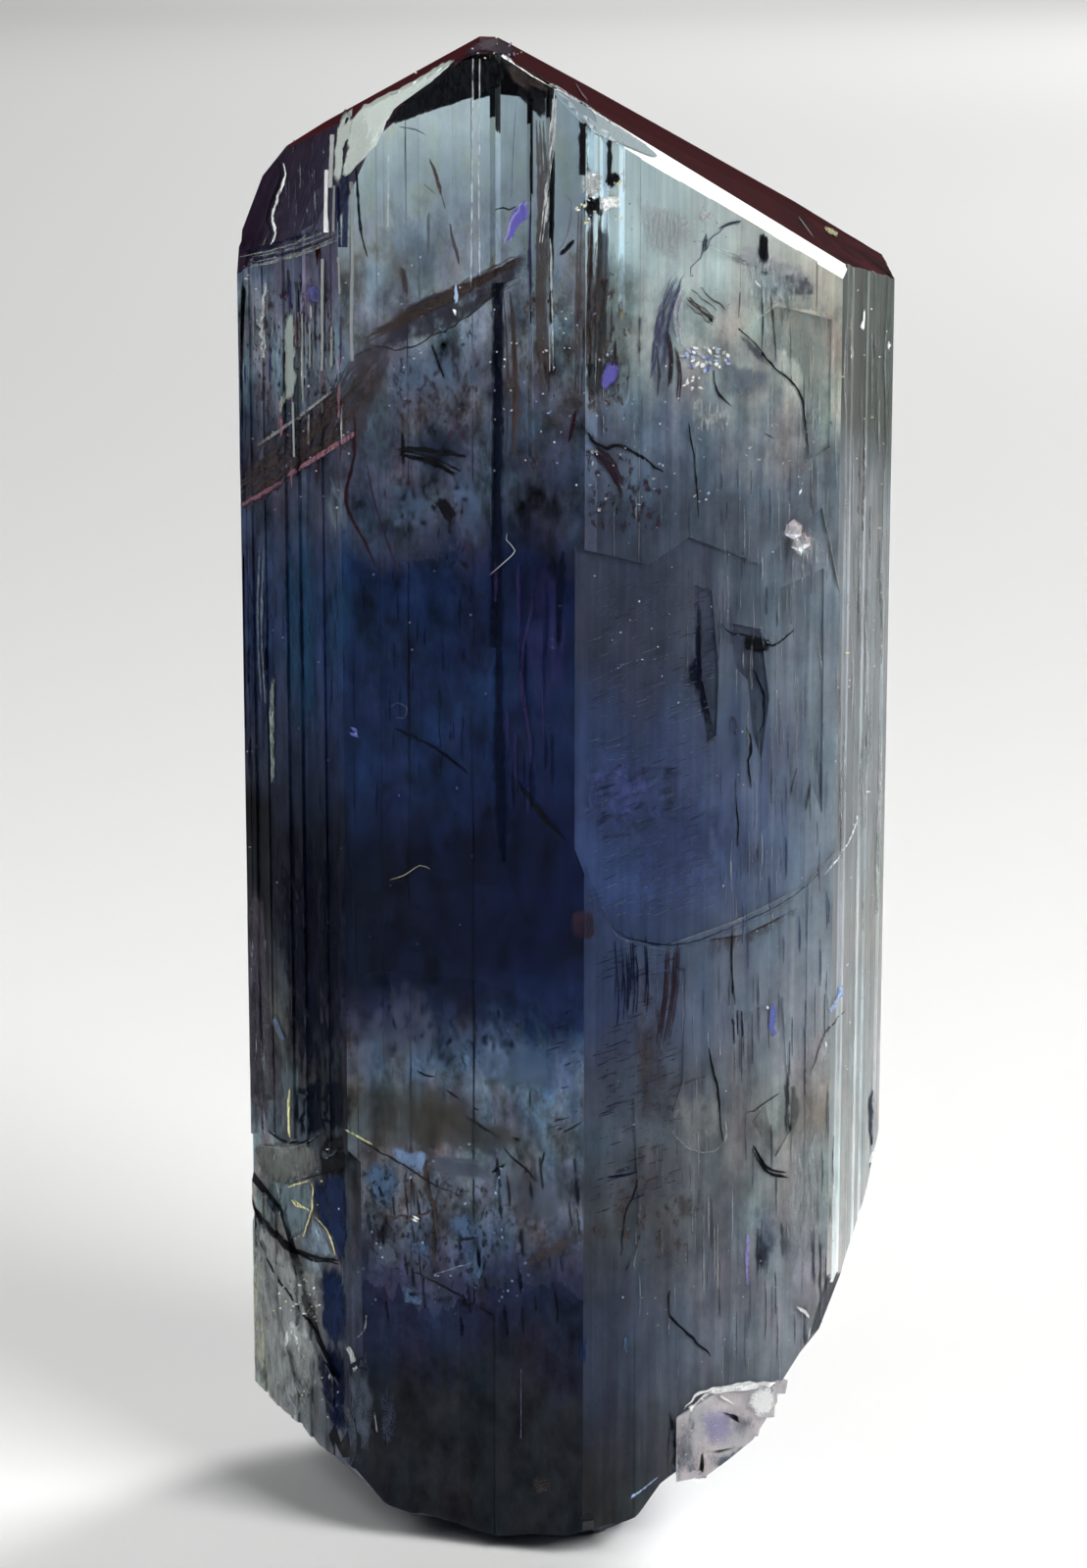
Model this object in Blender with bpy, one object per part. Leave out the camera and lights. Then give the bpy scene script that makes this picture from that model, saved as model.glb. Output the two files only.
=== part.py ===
"""Upright tanzanite crystal: a flattened zoisite prism with a roof-shaped top and a broken foot.

The crystal stands on the flat patch of its broken foot. X runs along its width, Y through its
depth with the front at -Y, and Z up its length. A small pale crystal has grown into the lower
right of the foot and is one solid with the main crystal. Sizes below are in millimetres.
"""

import math
import random

import bmesh
import bpy
from mathutils import Vector

MM = 0.001

# Edges of the prism seen from above, from the left side round the front.
LEFT_EDGE = Vector((-9.1, 0.4))
FRONT_LEFT_EDGE = Vector((-6.05, -4.45))
FRONT_EDGE = Vector((0.5, -6.0))
FRONT_RIGHT_EDGE = Vector((7.35, -4.4))
RIGHT_EDGE = Vector((9.0, -1.2))
RIGHT_BACK_EDGE = Vector((8.9, 2.0))
BACK_RIGHT_EDGE = Vector((6.6, 5.0))
BACK_EDGE = Vector((-0.8, 6.0))
BACK_LEFT_EDGE = Vector((-6.3, 4.8))
LEFT_BACK_EDGE = Vector((-9.0, 2.6))

# Each side with its number of growth strips, and how far back the deepest strip stands.
LEFT_FRONT_SIDE = (LEFT_EDGE, FRONT_LEFT_EDGE, 15, 0.13)
FRONT_LEFT_SIDE = (FRONT_LEFT_EDGE, FRONT_EDGE, 4, 0.03)
FRONT_RIGHT_SIDE = (FRONT_EDGE, FRONT_RIGHT_EDGE, 12, 0.05)
SIDES = (
    LEFT_FRONT_SIDE,
    FRONT_LEFT_SIDE,
    FRONT_RIGHT_SIDE,
    (FRONT_RIGHT_EDGE, RIGHT_EDGE, 15, 0.14),
    (RIGHT_EDGE, RIGHT_BACK_EDGE, 9, 0.10),
    (RIGHT_BACK_EDGE, BACK_RIGHT_EDGE, 11, 0.12),
    (BACK_RIGHT_EDGE, BACK_EDGE, 12, 0.06),
    (BACK_EDGE, BACK_LEFT_EDGE, 9, 0.06),
    (BACK_LEFT_EDGE, LEFT_BACK_EDGE, 9, 0.12),
    (LEFT_BACK_EDGE, LEFT_EDGE, 5, 0.10),
)

# How near to a cleaved face a point counts as on it, and how far a flat cutter reaches out.
ON_THE_FACE = 0.00001
CUTTER_REACH = 1.0

# The prism is grown past both ends, and its end faces and its break then cut it to length.
PRISM_FOOT = -1.0
PRISM_TOP = 44.0
PAST_THE_TOP = 46.0
INSIDE_POINT = Vector((0.0, 0.0, 20.0))

# Faces of the roof, each by a point on it and the direction that it looks in.
ROOF_FACES = (
    ((0.0, 0.0, 40.62), (0.546, 0.0, 1.0)),
    ((3.14, -5.2, 38.64), (0.64, -0.12, 1.0)),
    ((0.0, 0.0, 42.95), (-0.54, -0.01, 1.0)),
    ((-2.1, 0.0, 41.68), (0.04, 0.0, 1.0)),
    ((-8.1, 0.0, 38.3), (-0.76, -0.03, 0.65)),
    ((-9.05, 0.25, 35.3), (-0.846, -0.404, 0.342)),
    ((-9.0, 2.4, 35.4), (-0.88, 0.30, 0.342)),
)

# Narrow faces between the roof and the sides, each by three points on it: right, left, then behind.
WEDGE_FACES = (
    ((2.0, -5.59, 38.95), (7.2, -4.44, 35.75), (5.2, -4.55, 37.45)),
    ((-2.6, -5.3, 41.5), (-5.15, -4.68, 39.2), (-4.7, -3.9, 40.38)),
    ((-5.1, 5.25, 38.9), (-1.7, 5.75, 40.1), (-2.2, 4.6, 41.7)),
    ((-1.7, 5.75, 40.7), (0.9, 5.65, 40.2), (-1.7, 4.9, 41.6)),
)

# Reach of the broken foot: height, then how far it comes to the left, right, front and back.
FOOT_PROFILE = (
    (0.0, 4.6, 2.3, 4.2, 4.3),
    (0.4, 5.2, 2.5, 4.9, 4.9),
    (0.75, 5.6, 2.3, 6.1, 5.2),
    (1.2, 6.3, 2.8, 6.7, 5.7),
    (2.1, 7.0, 3.7, 7.5, 6.4),
    (2.9, 9.15, 4.7, 8.2, 7.2),
    (3.5, 10.6, 5.7, 8.6, 7.8),
    (4.75, 11.0, 6.8, 9.0, 8.2),
    (5.9, 11.0, 7.4, 9.2, 8.6),
    (7.8, 11.0, 8.05, 9.4, 9.0),
    (9.5, 11.0, 8.7, 9.6, 9.2),
    (11.6, 11.0, 9.15, 9.8, 9.4),
    (13.5, 11.0, 10.2, 10.0, 9.6),
    (50.0, 11.0, 11.0, 10.0, 10.0),
)
FOOT_POINTS_AROUND = 44
FOOT_SQUARENESS = 2.4
FOOT_ROUGHNESS = 0.16
BREAK_TOP = 13.5

# Shallow recess in the right front face, down to the arc where its last growth layer stopped.
RECESS_DEPTH = 0.12
RECESS_OUTLINE = (
    (-0.4, 22.4), (0.21, 20.65), (0.87, 18.71), (1.68, 17.89), (2.75, 17.64), (4.64, 18.22), (6.53, 19.08),
    (7.6, 20.2), (7.6, 26.5), (6.9, 29.6), (5.2, 28.1), (3.3, 28.9), (2.2, 28.2), (-0.4, 28.9),
)

# Pits where growth layers stopped on the right front face: how deep, then the outline across and up.
PITS = (
    (0.21, ((3.45, 27.6), (3.95, 27.4), (4.15, 25.2), (4.1, 23.4), (3.85, 23.2), (3.7, 24.6), (3.5, 25.7))),
    (0.20, ((4.45, 26.5), (5.3, 26.3), (5.55, 24.4), (5.35, 22.7), (5.1, 23.4), (4.95, 24.9), (4.6, 25.3))),
    (0.19, ((5.8, 27.4), (7.0, 27.9), (7.05, 21.1), (6.75, 21.9), (6.6, 21.2), (6.35, 22.4), (6.15, 21.6))),
    (0.12, ((4.6, 34.3), (5.3, 33.7), (6.2, 32.9), (6.45, 30.8), (7.1, 31.2), (7.1, 34.6), (5.6, 35.0))),
    (0.11, ((2.3, 16.9), (2.5, 15.4), (2.75, 14.6), (2.95, 12.9), (3.25, 13.8), (3.3, 17.0))),
    (0.12, ((4.9, 15.6), (5.2, 12.4), (5.55, 12.9), (5.85, 11.4), (6.3, 12.2), (6.0, 16.0))),
    (0.10, ((0.9, 13.2), (1.05, 9.4), (1.4, 9.8), (1.7, 8.4), (2.1, 9.3), (1.9, 13.4))),
)

# Upright grooves: the side, distance along it, width, depth, and the height each begins at.
GROOVES = (
    (FRONT_LEFT_SIDE, 4.28, 0.34, 0.12, 27.6),
    (FRONT_LEFT_SIDE, 5.24, 0.16, 0.10, 29.5),
    (FRONT_LEFT_SIDE, 5.75, 0.16, 0.10, 31.0),
    (FRONT_RIGHT_SIDE, 0.12, 0.22, 0.12, 32.0),
    (FRONT_RIGHT_SIDE, 0.50, 0.30, 0.12, 34.2),
    (FRONT_RIGHT_SIDE, 0.98, 0.20, 0.10, 33.4),
    (LEFT_FRONT_SIDE, 1.25, 0.34, 0.26, 34.6),
    (LEFT_FRONT_SIDE, 2.35, 0.40, 0.24, 35.6),
    (LEFT_FRONT_SIDE, 3.45, 0.34, 0.26, 33.8),
    (LEFT_FRONT_SIDE, 4.55, 0.42, 0.24, 34.9),
    (LEFT_FRONT_SIDE, 5.15, 0.22, 0.18, 32.0),
)
GROOVE_FADE = 1.6
GROOVE_CLEARANCE = 0.3

# The left front side lost a slab below a ledge: its outline along the side and up.
LEDGE_DEPTH = 0.26
LEDGE_OUTLINE = (
    (-1.0, 9.4), (1.5, 8.5), (2.4, 7.2), (3.6, 5.2), (4.9, 4.3), (6.1, 5.6), (6.0, 11.2), (5.2, 11.5),
    (4.4, 10.9), (2.6, 11.0), (1.9, 10.6), (1.0, 10.75), (-1.0, 10.2),
)

# Shell-shaped chips along the edges: the centre and the radius of each scoop.
CHIPS = (
    ((-9.55, 0.6, 31.6), 0.48), ((-9.6, 1.2, 24.2), 0.52), ((-9.5, 0.2, 17.3), 0.44),
    ((-9.62, 0.5, 13.8), 0.66), ((-9.7, 0.9, 11.9), 0.72), ((-9.75, 0.6, 8.1), 0.80),
    ((-9.6, 0.2, 5.6), 0.62), ((-9.45, -0.2, 3.9), 0.66), ((-6.3, -4.9, 5.9), 0.44),
    ((9.55, -0.6, 12.9), 0.66), ((9.25, -1.5, 10.1), 0.60), ((9.5, -1.2, 19.4), 0.46),
    ((8.1, -4.2, 20.9), 0.62), ((7.6, -5.0, 8.4), 0.62), ((4.1, -6.0, 2.1), 0.74),
    ((0.9, -6.6, 1.2), 0.72), ((-3.4, -6.0, 0.9), 0.70), ((-5.6, -5.5, 1.9), 0.70),
    ((5.7, 5.9, 5.4), 1.10), ((-2.4, 6.6, 3.2), 1.30), ((-7.4, 4.5, 4.6), 1.15),
    ((9.2, -0.6, 36.3), 0.44), ((7.6, -4.6, 36.2), 0.34),
)
CHIP_ROUGHNESS = 0.10

# Wide shell-shaped scars low on the left front side: distance along it, height, radius, and how deep.
SCARS = (
    (1.6, 9.6, 2.3, 0.42),
    (4.0, 7.6, 2.2, 0.50),
    (2.7, 4.4, 2.6, 0.30),
    (5.2, 3.0, 1.8, 0.28),
)
SCAR_ROUGHNESS = 0.012

# Pale crystal grown into the lower right of the foot, as the corners of its form.
PALE_CRYSTAL = (
    (3.13, -5.45, 2.09), (3.12, -5.5, 4.0), (4.35, -5.3, 4.75), (5.45, -5.04, 4.78), (5.95, -4.8, 4.7),
    (5.98, -4.75, 4.2), (5.3, -5.05, 3.2), (4.65, -5.2, 2.69), (3.96, -5.35, 2.22),
    (3.2, -2.8, 1.5), (3.3, -2.6, 4.0), (4.7, -2.4, 2.3), (5.7, -2.6, 3.7), (5.6, -2.4, 4.6),
)

# Pale grains beside it and on the right front face: the centre and the radius of each.
GRAINS = (
    ((5.95, -4.55, 4.6), 0.34),
    ((5.62, -4.6, 3.95), 0.36),
    ((5.25, -4.7, 3.35), 0.30),
    ((4.55, -4.9, 2.8), 0.28),
    ((3.75, -5.0, 2.25), 0.30),
    ((6.12, -4.7, 29.0), 0.26),
    ((6.4, -4.64, 28.7), 0.22),
    ((6.22, -4.68, 28.6), 0.18),
)
GRAIN_ROUGHNESS = 0.16

# Points of the prism closer than this after its faces are cleaved are one point.
WELD_DISTANCE = 0.004

rng = random.Random(41)


def build_object(name, fill_mesh):
    """A new object from a function that fills a mesh in millimetres."""
    work = bmesh.new()
    fill_mesh(work)
    bmesh.ops.scale(work, vec=Vector((MM, MM, MM)), verts=work.verts)
    mesh = bpy.data.meshes.new(name)
    work.to_mesh(mesh)
    work.free()
    return bpy.data.objects.new(name, mesh)


def side_directions(side):
    """The unit directions along a side of the prism and out of it."""
    along = (side[1] - side[0]).normalized()
    return along, Vector((along.y, -along.x))


def point_on_side(side, distance, out, height):
    along, outward = side_directions(side)
    spot = side[0] + along * distance + outward * out
    return Vector((spot.x, spot.y, height))


def strip_outline(side):
    """Points along one side whose growth strips stand back by different amounts."""
    start, end, strips, deepest = side
    _, outward = side_directions(side)
    widths = [rng.uniform(0.5, 1.6) for _ in range(strips)]
    whole = sum(widths)
    points = []
    reached = 0.0
    for number, width in enumerate(widths):
        at_an_edge = number in (0, strips - 1)
        back = 0.0 if at_an_edge else rng.uniform(0.0, deepest)
        for share in (reached / whole, (reached + width) / whole):
            points.append(start.lerp(end, share) - outward * back)
        reached += width
    return points[:-1]


def cleave(work, point, looks):
    """Cuts away all that lies past a flat face, and closes the solid with that face."""
    everything = work.verts[:] + work.edges[:] + work.faces[:]
    result = bmesh.ops.bisect_plane(
        work,
        geom=everything,
        dist=ON_THE_FACE,
        plane_co=Vector(point),
        plane_no=Vector(looks),
        clear_outer=True,
    )
    rim = [part for part in result["geom_cut"] if isinstance(part, bmesh.types.BMEdge)]
    bmesh.ops.edgeloop_fill(work, edges=rim)


def fill_prism(work):
    corners = [point for side in SIDES for point in strip_outline(side)]
    foot = work.faces.new([work.verts.new((c.x, c.y, PRISM_FOOT)) for c in corners])
    grown = bmesh.ops.extrude_face_region(work, geom=[foot])
    top = [part for part in grown["geom"] if isinstance(part, bmesh.types.BMVert)]
    bmesh.ops.translate(work, vec=(0.0, 0.0, PRISM_TOP - PRISM_FOOT), verts=top)
    for point, looks in ROOF_FACES:
        cleave(work, point, looks)
    for corner_points in WEDGE_FACES:
        first, second, third = (Vector(corner) for corner in corner_points)
        looks = (second - first).cross(third - first).normalized()
        if looks.dot(first - INSIDE_POINT) < 0:
            looks.negate()
        cleave(work, first, looks)
    bmesh.ops.remove_doubles(work, verts=work.verts, dist=WELD_DISTANCE)
    bmesh.ops.recalc_face_normals(work, faces=work.faces)


def foot_ring(work, height, left, right, front, back):
    """One level of the broken foot: a squarish oval whose points wander a little."""
    wander = FOOT_ROUGHNESS if 0.0 < height < BREAK_TOP else 0.0
    ring = []
    for number in range(FOOT_POINTS_AROUND):
        turn = 2 * math.pi * number / FOOT_POINTS_AROUND
        across = math.cos(turn)
        deep = math.sin(turn)
        x = math.copysign(abs(across) ** (2 / FOOT_SQUARENESS), across) * (right if across > 0 else left)
        y = math.copysign(abs(deep) ** (2 / FOOT_SQUARENESS), deep) * (back if deep > 0 else front)
        shift = [rng.uniform(-wander, wander) for _ in range(3)]
        ring.append(work.verts.new((x + shift[0], y + shift[1], height + shift[2])))
    return ring


def fill_foot_form(work):
    rings = [foot_ring(work, *level) for level in FOOT_PROFILE]
    for lower, upper in zip(rings, rings[1:]):
        for number in range(FOOT_POINTS_AROUND):
            after = (number + 1) % FOOT_POINTS_AROUND
            work.faces.new((lower[number], lower[after], upper[after], upper[number]))
    work.faces.new(reversed(rings[0]))
    work.faces.new(rings[-1])
    bmesh.ops.triangulate(work, faces=work.faces)
    bmesh.ops.recalc_face_normals(work, faces=work.faces)


def fill_between(inner, outer):
    """A function that fills a mesh with the closed solid between two matching outlines."""

    def fill(work):
        near = [work.verts.new(point) for point in inner]
        far = [work.verts.new(point) for point in outer]
        work.faces.new(near)
        work.faces.new(far)
        for number in range(len(near)):
            after = (number + 1) % len(near)
            work.faces.new((near[number], near[after], far[after], far[number]))
        bmesh.ops.triangulate(work, faces=work.faces)
        bmesh.ops.recalc_face_normals(work, faces=work.faces)

    return fill


def outline_on_side(side, outline, out):
    """The points of a flat outline given as distance along a side and height."""
    return [point_on_side(side, distance, out, height) for distance, height in outline]


def outline_across_front(outline, out):
    """The points of an outline on the right front face given as X and height."""
    along, _ = side_directions(FRONT_RIGHT_SIDE)
    spans = [((x - FRONT_EDGE.x) / along.x, height) for x, height in outline]
    return outline_on_side(FRONT_RIGHT_SIDE, spans, out)


def fill_groove(side, distance, width, depth, begins):
    """An upright V cut that fades in at its lower end and runs out through the roof."""
    corners = (
        (distance - width / 2, GROOVE_CLEARANCE),
        (distance - width / 2, 0.0),
        (distance, -depth),
        (distance + width / 2, 0.0),
        (distance + width / 2, GROOVE_CLEARANCE),
    )
    full = [(spot, out, begins + GROOVE_FADE) for spot, out in corners]
    top = [(spot, out, PAST_THE_TOP) for spot, out in corners]

    def fill(work):
        tip = work.verts.new(point_on_side(side, distance, GROOVE_CLEARANCE, begins))
        low = [work.verts.new(point_on_side(side, *corner)) for corner in full]
        high = [work.verts.new(point_on_side(side, *corner)) for corner in top]
        for number in range(len(low)):
            after = (number + 1) % len(low)
            work.faces.new((low[number], low[after], high[after], high[number]))
            work.faces.new((tip, low[after], low[number]))
        work.faces.new(high)
        bmesh.ops.triangulate(work, faces=work.faces)
        bmesh.ops.recalc_face_normals(work, faces=work.faces)

    return fill


def fill_lump(centre, radius, roughness, subdivisions):
    """A function that fills a mesh with a rough ball."""

    def fill(work):
        bmesh.ops.create_icosphere(work, subdivisions=subdivisions, radius=radius)
        for point in work.verts:
            point.co *= 1.0 + rng.uniform(-roughness, roughness)
            point.co += Vector(centre)

    return fill


def scar_centre(distance, height, radius, depth):
    """The centre of the ball that leaves a scar of that depth on the left front side."""
    return point_on_side(LEFT_FRONT_SIDE, distance, radius - depth, height)


def fill_pale_crystal(work):
    for corner in PALE_CRYSTAL:
        work.verts.new(corner)
    hull = bmesh.ops.convex_hull(work, input=work.verts)
    bmesh.ops.delete(work, geom=hull["geom_interior"], context="VERTS")
    bmesh.ops.recalc_face_normals(work, faces=work.faces)


def helper(thing, collection):
    """Puts a cutter or an addition in its collection, out of the render."""
    thing.hide_render = True
    thing.display_type = "WIRE"
    collection.objects.link(thing)


def tanzanite_material():
    material = bpy.data.materials.new("tanzanite")
    material.use_nodes = True
    shader = material.node_tree.nodes["Principled BSDF"]
    shader.inputs["Base Color"].default_value = (0.045, 0.075, 0.16, 1.0)
    shader.inputs["Metallic"].default_value = 0.0
    shader.inputs["Roughness"].default_value = 0.06
    shader.inputs["IOR"].default_value = 1.69
    shader.inputs["Transmission Weight"].default_value = 0.7
    return material


def main():
    for old in list(bpy.data.objects):
        bpy.data.objects.remove(old, do_unlink=True)
    scene_collection = bpy.context.scene.collection
    cuts = bpy.data.collections.new("cuts")
    additions = bpy.data.collections.new("additions")
    foot = bpy.data.collections.new("foot")
    for group in (cuts, additions, foot):
        scene_collection.children.link(group)

    crystal = build_object("tanzanite_crystal", fill_prism)
    crystal.data.materials.append(tanzanite_material())
    scene_collection.objects.link(crystal)

    foot_form = build_object("foot_form", fill_foot_form)
    helper(foot_form, foot)

    recess = fill_between(
        outline_across_front(RECESS_OUTLINE, -RECESS_DEPTH),
        outline_across_front(RECESS_OUTLINE, CUTTER_REACH),
    )
    helper(build_object("recess", recess), cuts)
    ledge = fill_between(
        outline_on_side(LEFT_FRONT_SIDE, LEDGE_OUTLINE, -LEDGE_DEPTH),
        outline_on_side(LEFT_FRONT_SIDE, LEDGE_OUTLINE, CUTTER_REACH),
    )
    helper(build_object("ledge", ledge), cuts)
    for number, (depth, outline) in enumerate(PITS):
        pit = fill_between(
            outline_across_front(outline, -depth),
            outline_across_front(outline, CUTTER_REACH),
        )
        helper(build_object(f"pit_{number}", pit), cuts)
    for number, groove in enumerate(GROOVES):
        helper(build_object(f"groove_{number}", fill_groove(*groove)), cuts)
    for number, (centre, radius) in enumerate(CHIPS):
        helper(build_object(f"chip_{number}", fill_lump(centre, radius, CHIP_ROUGHNESS, 2)), cuts)
    for number, scar in enumerate(SCARS):
        lump = fill_lump(scar_centre(*scar), scar[2], SCAR_ROUGHNESS, 3)
        helper(build_object(f"scar_{number}", lump), cuts)

    helper(build_object("pale_crystal", fill_pale_crystal), additions)
    for number, (centre, radius) in enumerate(GRAINS):
        helper(build_object(f"grain_{number}", fill_lump(centre, radius, GRAIN_ROUGHNESS, 1)), additions)

    broken = crystal.modifiers.new("broken foot", "BOOLEAN")
    broken.operation = "INTERSECT"
    broken.object = foot_form
    for group, operation in ((cuts, "DIFFERENCE"), (additions, "UNION")):
        step = crystal.modifiers.new(group.name, "BOOLEAN")
        step.operation = operation
        step.operand_type = "COLLECTION"
        step.collection = group


main()
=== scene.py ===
import math
import random

import bpy
from mathutils import Euler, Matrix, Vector
from mathutils.bvhtree import BVHTree


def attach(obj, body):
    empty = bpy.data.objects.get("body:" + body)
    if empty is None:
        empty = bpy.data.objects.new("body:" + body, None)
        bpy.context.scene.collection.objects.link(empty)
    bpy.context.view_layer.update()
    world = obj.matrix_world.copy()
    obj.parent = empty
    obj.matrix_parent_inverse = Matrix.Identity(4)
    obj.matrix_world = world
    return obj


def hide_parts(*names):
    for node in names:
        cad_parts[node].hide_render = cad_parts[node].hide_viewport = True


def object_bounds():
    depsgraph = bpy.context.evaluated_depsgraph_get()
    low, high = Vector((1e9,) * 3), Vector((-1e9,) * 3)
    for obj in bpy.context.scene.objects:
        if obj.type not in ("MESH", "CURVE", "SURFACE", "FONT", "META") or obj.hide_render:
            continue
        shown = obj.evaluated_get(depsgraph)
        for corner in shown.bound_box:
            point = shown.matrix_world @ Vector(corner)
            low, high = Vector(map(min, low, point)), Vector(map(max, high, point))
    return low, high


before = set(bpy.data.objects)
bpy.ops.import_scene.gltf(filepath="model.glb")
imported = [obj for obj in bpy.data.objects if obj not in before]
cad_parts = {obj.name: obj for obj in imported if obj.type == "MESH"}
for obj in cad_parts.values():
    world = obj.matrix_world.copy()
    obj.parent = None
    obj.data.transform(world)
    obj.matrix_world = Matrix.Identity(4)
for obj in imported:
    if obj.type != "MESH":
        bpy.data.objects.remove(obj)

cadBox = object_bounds()
mm = 0.001
crystalHeight = (cadBox[1].z - cadBox[0].z) / mm
scene = bpy.context.scene
noiseSpan = (0.3, 0.7)  # where nearly all of a noise texture's values lie


def toLinear(hexColor):
    parts = [int(hexColor[i:i + 2], 16) / 255 for i in (1, 3, 5)]
    return [p / 12.92 if p <= 0.04045 else ((p + 0.055) / 1.055) ** 2.4 for p in parts] + [1.0]


def addNode(tree, kind, inputs=None, stops=None, **settings):
    # inputs takes plain values or sockets to link, and stops are a colour ramp's, by hex colour or brightness
    node = tree.nodes.new(kind)
    for name, value in settings.items():
        setattr(node, name, value)
    for name, value in (inputs or {}).items():
        if isinstance(value, bpy.types.NodeSocket):
            tree.links.new(value, node.inputs[name])
        else:
            node.inputs[name].default_value = value
    if stops:
        elements = node.color_ramp.elements
        while len(elements) < len(stops):
            elements.new(1.0)
        for element, (place, color) in zip(elements, stops):
            element.position = place
            element.color = toLinear(color) if isinstance(color, str) else (color, color, color, 1)
    return node


def newMaterial(name):
    material = bpy.data.materials.new(name)
    material.use_nodes = True
    material.node_tree.nodes.clear()
    return material, material.node_tree


def pickNothing():
    if bpy.context.object and bpy.context.object.mode != "OBJECT":
        bpy.ops.object.mode_set(mode="OBJECT")
    bpy.ops.object.select_all(action="DESELECT")


def pickOnly(thing):
    pickNothing()
    thing.select_set(True)
    bpy.context.view_layer.objects.active = thing


# The camera, at the photograph's viewing angle.
photoSize = (1109, 1599)
cameraSettings = {
    "place": (-0.6, -111.8, 45.75),  # mm from the middle of the crystal's base
    "tiltDown": 12.5,  # degrees
    "focal": 92.6,  # mm, as are the next two
    "sensor": 36.0,
    "nearest": 5.0,
}


def makeCamera(settings):
    data = bpy.data.cameras.new("camera")
    data.lens = settings["focal"]
    data.sensor_width = settings["sensor"]
    data.clip_start = settings["nearest"] * mm
    camera = bpy.data.objects.new("camera", data)
    camera.location = Vector(settings["place"]) * mm
    camera.rotation_euler = (math.radians(90 - settings["tiltDown"]), 0, 0)
    scene.collection.objects.link(camera)
    scene.camera = camera


def sightLine(pixel, settings):
    # where the camera stands and the way it looks through a pixel of the photograph
    focal = settings["focal"] / settings["sensor"] * photoSize[1]
    way = Vector((pixel[0] - photoSize[0] / 2, photoSize[1] / 2 - pixel[1], -focal))
    tilt = Euler((math.radians(90 - settings["tiltDown"]), 0, 0)).to_matrix()
    return Vector(settings["place"]) * mm, (tilt @ way).normalized()


makeCamera(cameraSettings)
print("camera ready")

# The crystal, a copy of the solid with worn edges and notes on what each of its faces is.
crystalSettings = {
    "mergeWithin": 0.002,  # mm
    "flatWithin": 0.4,  # degrees
    "edgeWidth": 0.03,  # mm, the worn line along each edge, whose faces near the top are painted pale as a highlight
    "edgeAngle": 22.0,  # degrees
    "edgeStrip": 0.05,  # mm, a face thinner than this is such a line
    "grooveStrip": 0.16,  # mm, a face thinner than this is a wall of a growth line
    "grooveLightPaint": 2.0,  # how much brighter such a wall's colour is painted, as painted light against the shade of its groove
    # a low step of the back, by x and by depth in mm, whose wall would show as a black line through the glass
    "smoothStep": (-1.75, -1.45),
    "stepDepth": (0.03, 0.2),
    "roofFrom": 33.0,  # mm up, faces above this that look up belong to the top
    "roofSlope": 0.2,  # how much a face looks up to belong to the top
    "leftRoofTurn": -0.3,  # how far the left roof looks aside, and the most that it looks up
    "leftRoofRise": 0.8,
    "topReach": 4.5,  # mm from a top face's point, and how well a face's look has to fit
    "topFit": 0.93,
    # a face in a pale box is pale if it stands this many mm out of the side or is turned from the front
    "paleOut": 0.02,
    "paleTurn": -0.9,
    "breakSlope": 0.16,  # how much a face looks up or down to be part of the break
    "breakTop": 3.5,  # mm up, chips above this on the sides named next keep their look
    "chippedSides": ("frontLeft", "back", "left"),
    "recessFrom": 0.06,  # mm back from the right front side
    "recessFloor": (17.0, 29.5),  # mm up
    "pitFrom": 0.165,  # mm back, on the part left of x = pitTo in mm
    "pitTo": 5.6,
    "soundAll": -10.0,  # mm up, below the stone, for faces that let light through all the way down
}

# sides of the prism by two corners seen from above, in mm
sideLines = {
    "leftFront": [((-9.1, 0.4), (-6.05, -4.45))],
    "frontLeft": [((-6.05, -4.45), (0.5, -6.0))],
    "frontRight": [((0.5, -6.0), (7.35, -4.4))],
    "right": [((7.35, -4.4), (9.0, -1.2)), ((9.0, -1.2), (8.9, 2.0)), ((8.9, 2.0), (6.6, 5.0))],
    "back": [((6.6, 5.0), (-0.8, 6.0)), ((-0.8, 6.0), (-6.3, 4.8))],
    "left": [((-6.3, 4.8), (-9.0, 2.6)), ((-9.0, 2.6), (-9.1, 0.4))],
}
# boxes in mm that hold the pale crystal in the foot and the white grains
paleBoxes = [((3.0, -6.0, 1.3), (6.5, -4.0, 5.2)), ((5.8, -6.0, 28.2), (6.8, -4.72, 29.4))]
# narrow faces at the top by a point near each, in mm, and the way that each looks
topFaces = {
    # the wedge's white is a painted reflection of the lamp on this narrow facet
    "paintedHighlightWedge": ((4.8, -4.9, 37.3), (0.47, -0.72, 0.51)),
    "leftRoof": ((-4.2, -4.6, 40.3), (-0.62, -0.55, 0.56)),
    "chamfer": ((-3.0, 5.2, 40.3), (-0.25, 0.78, 0.57)),
}

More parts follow.
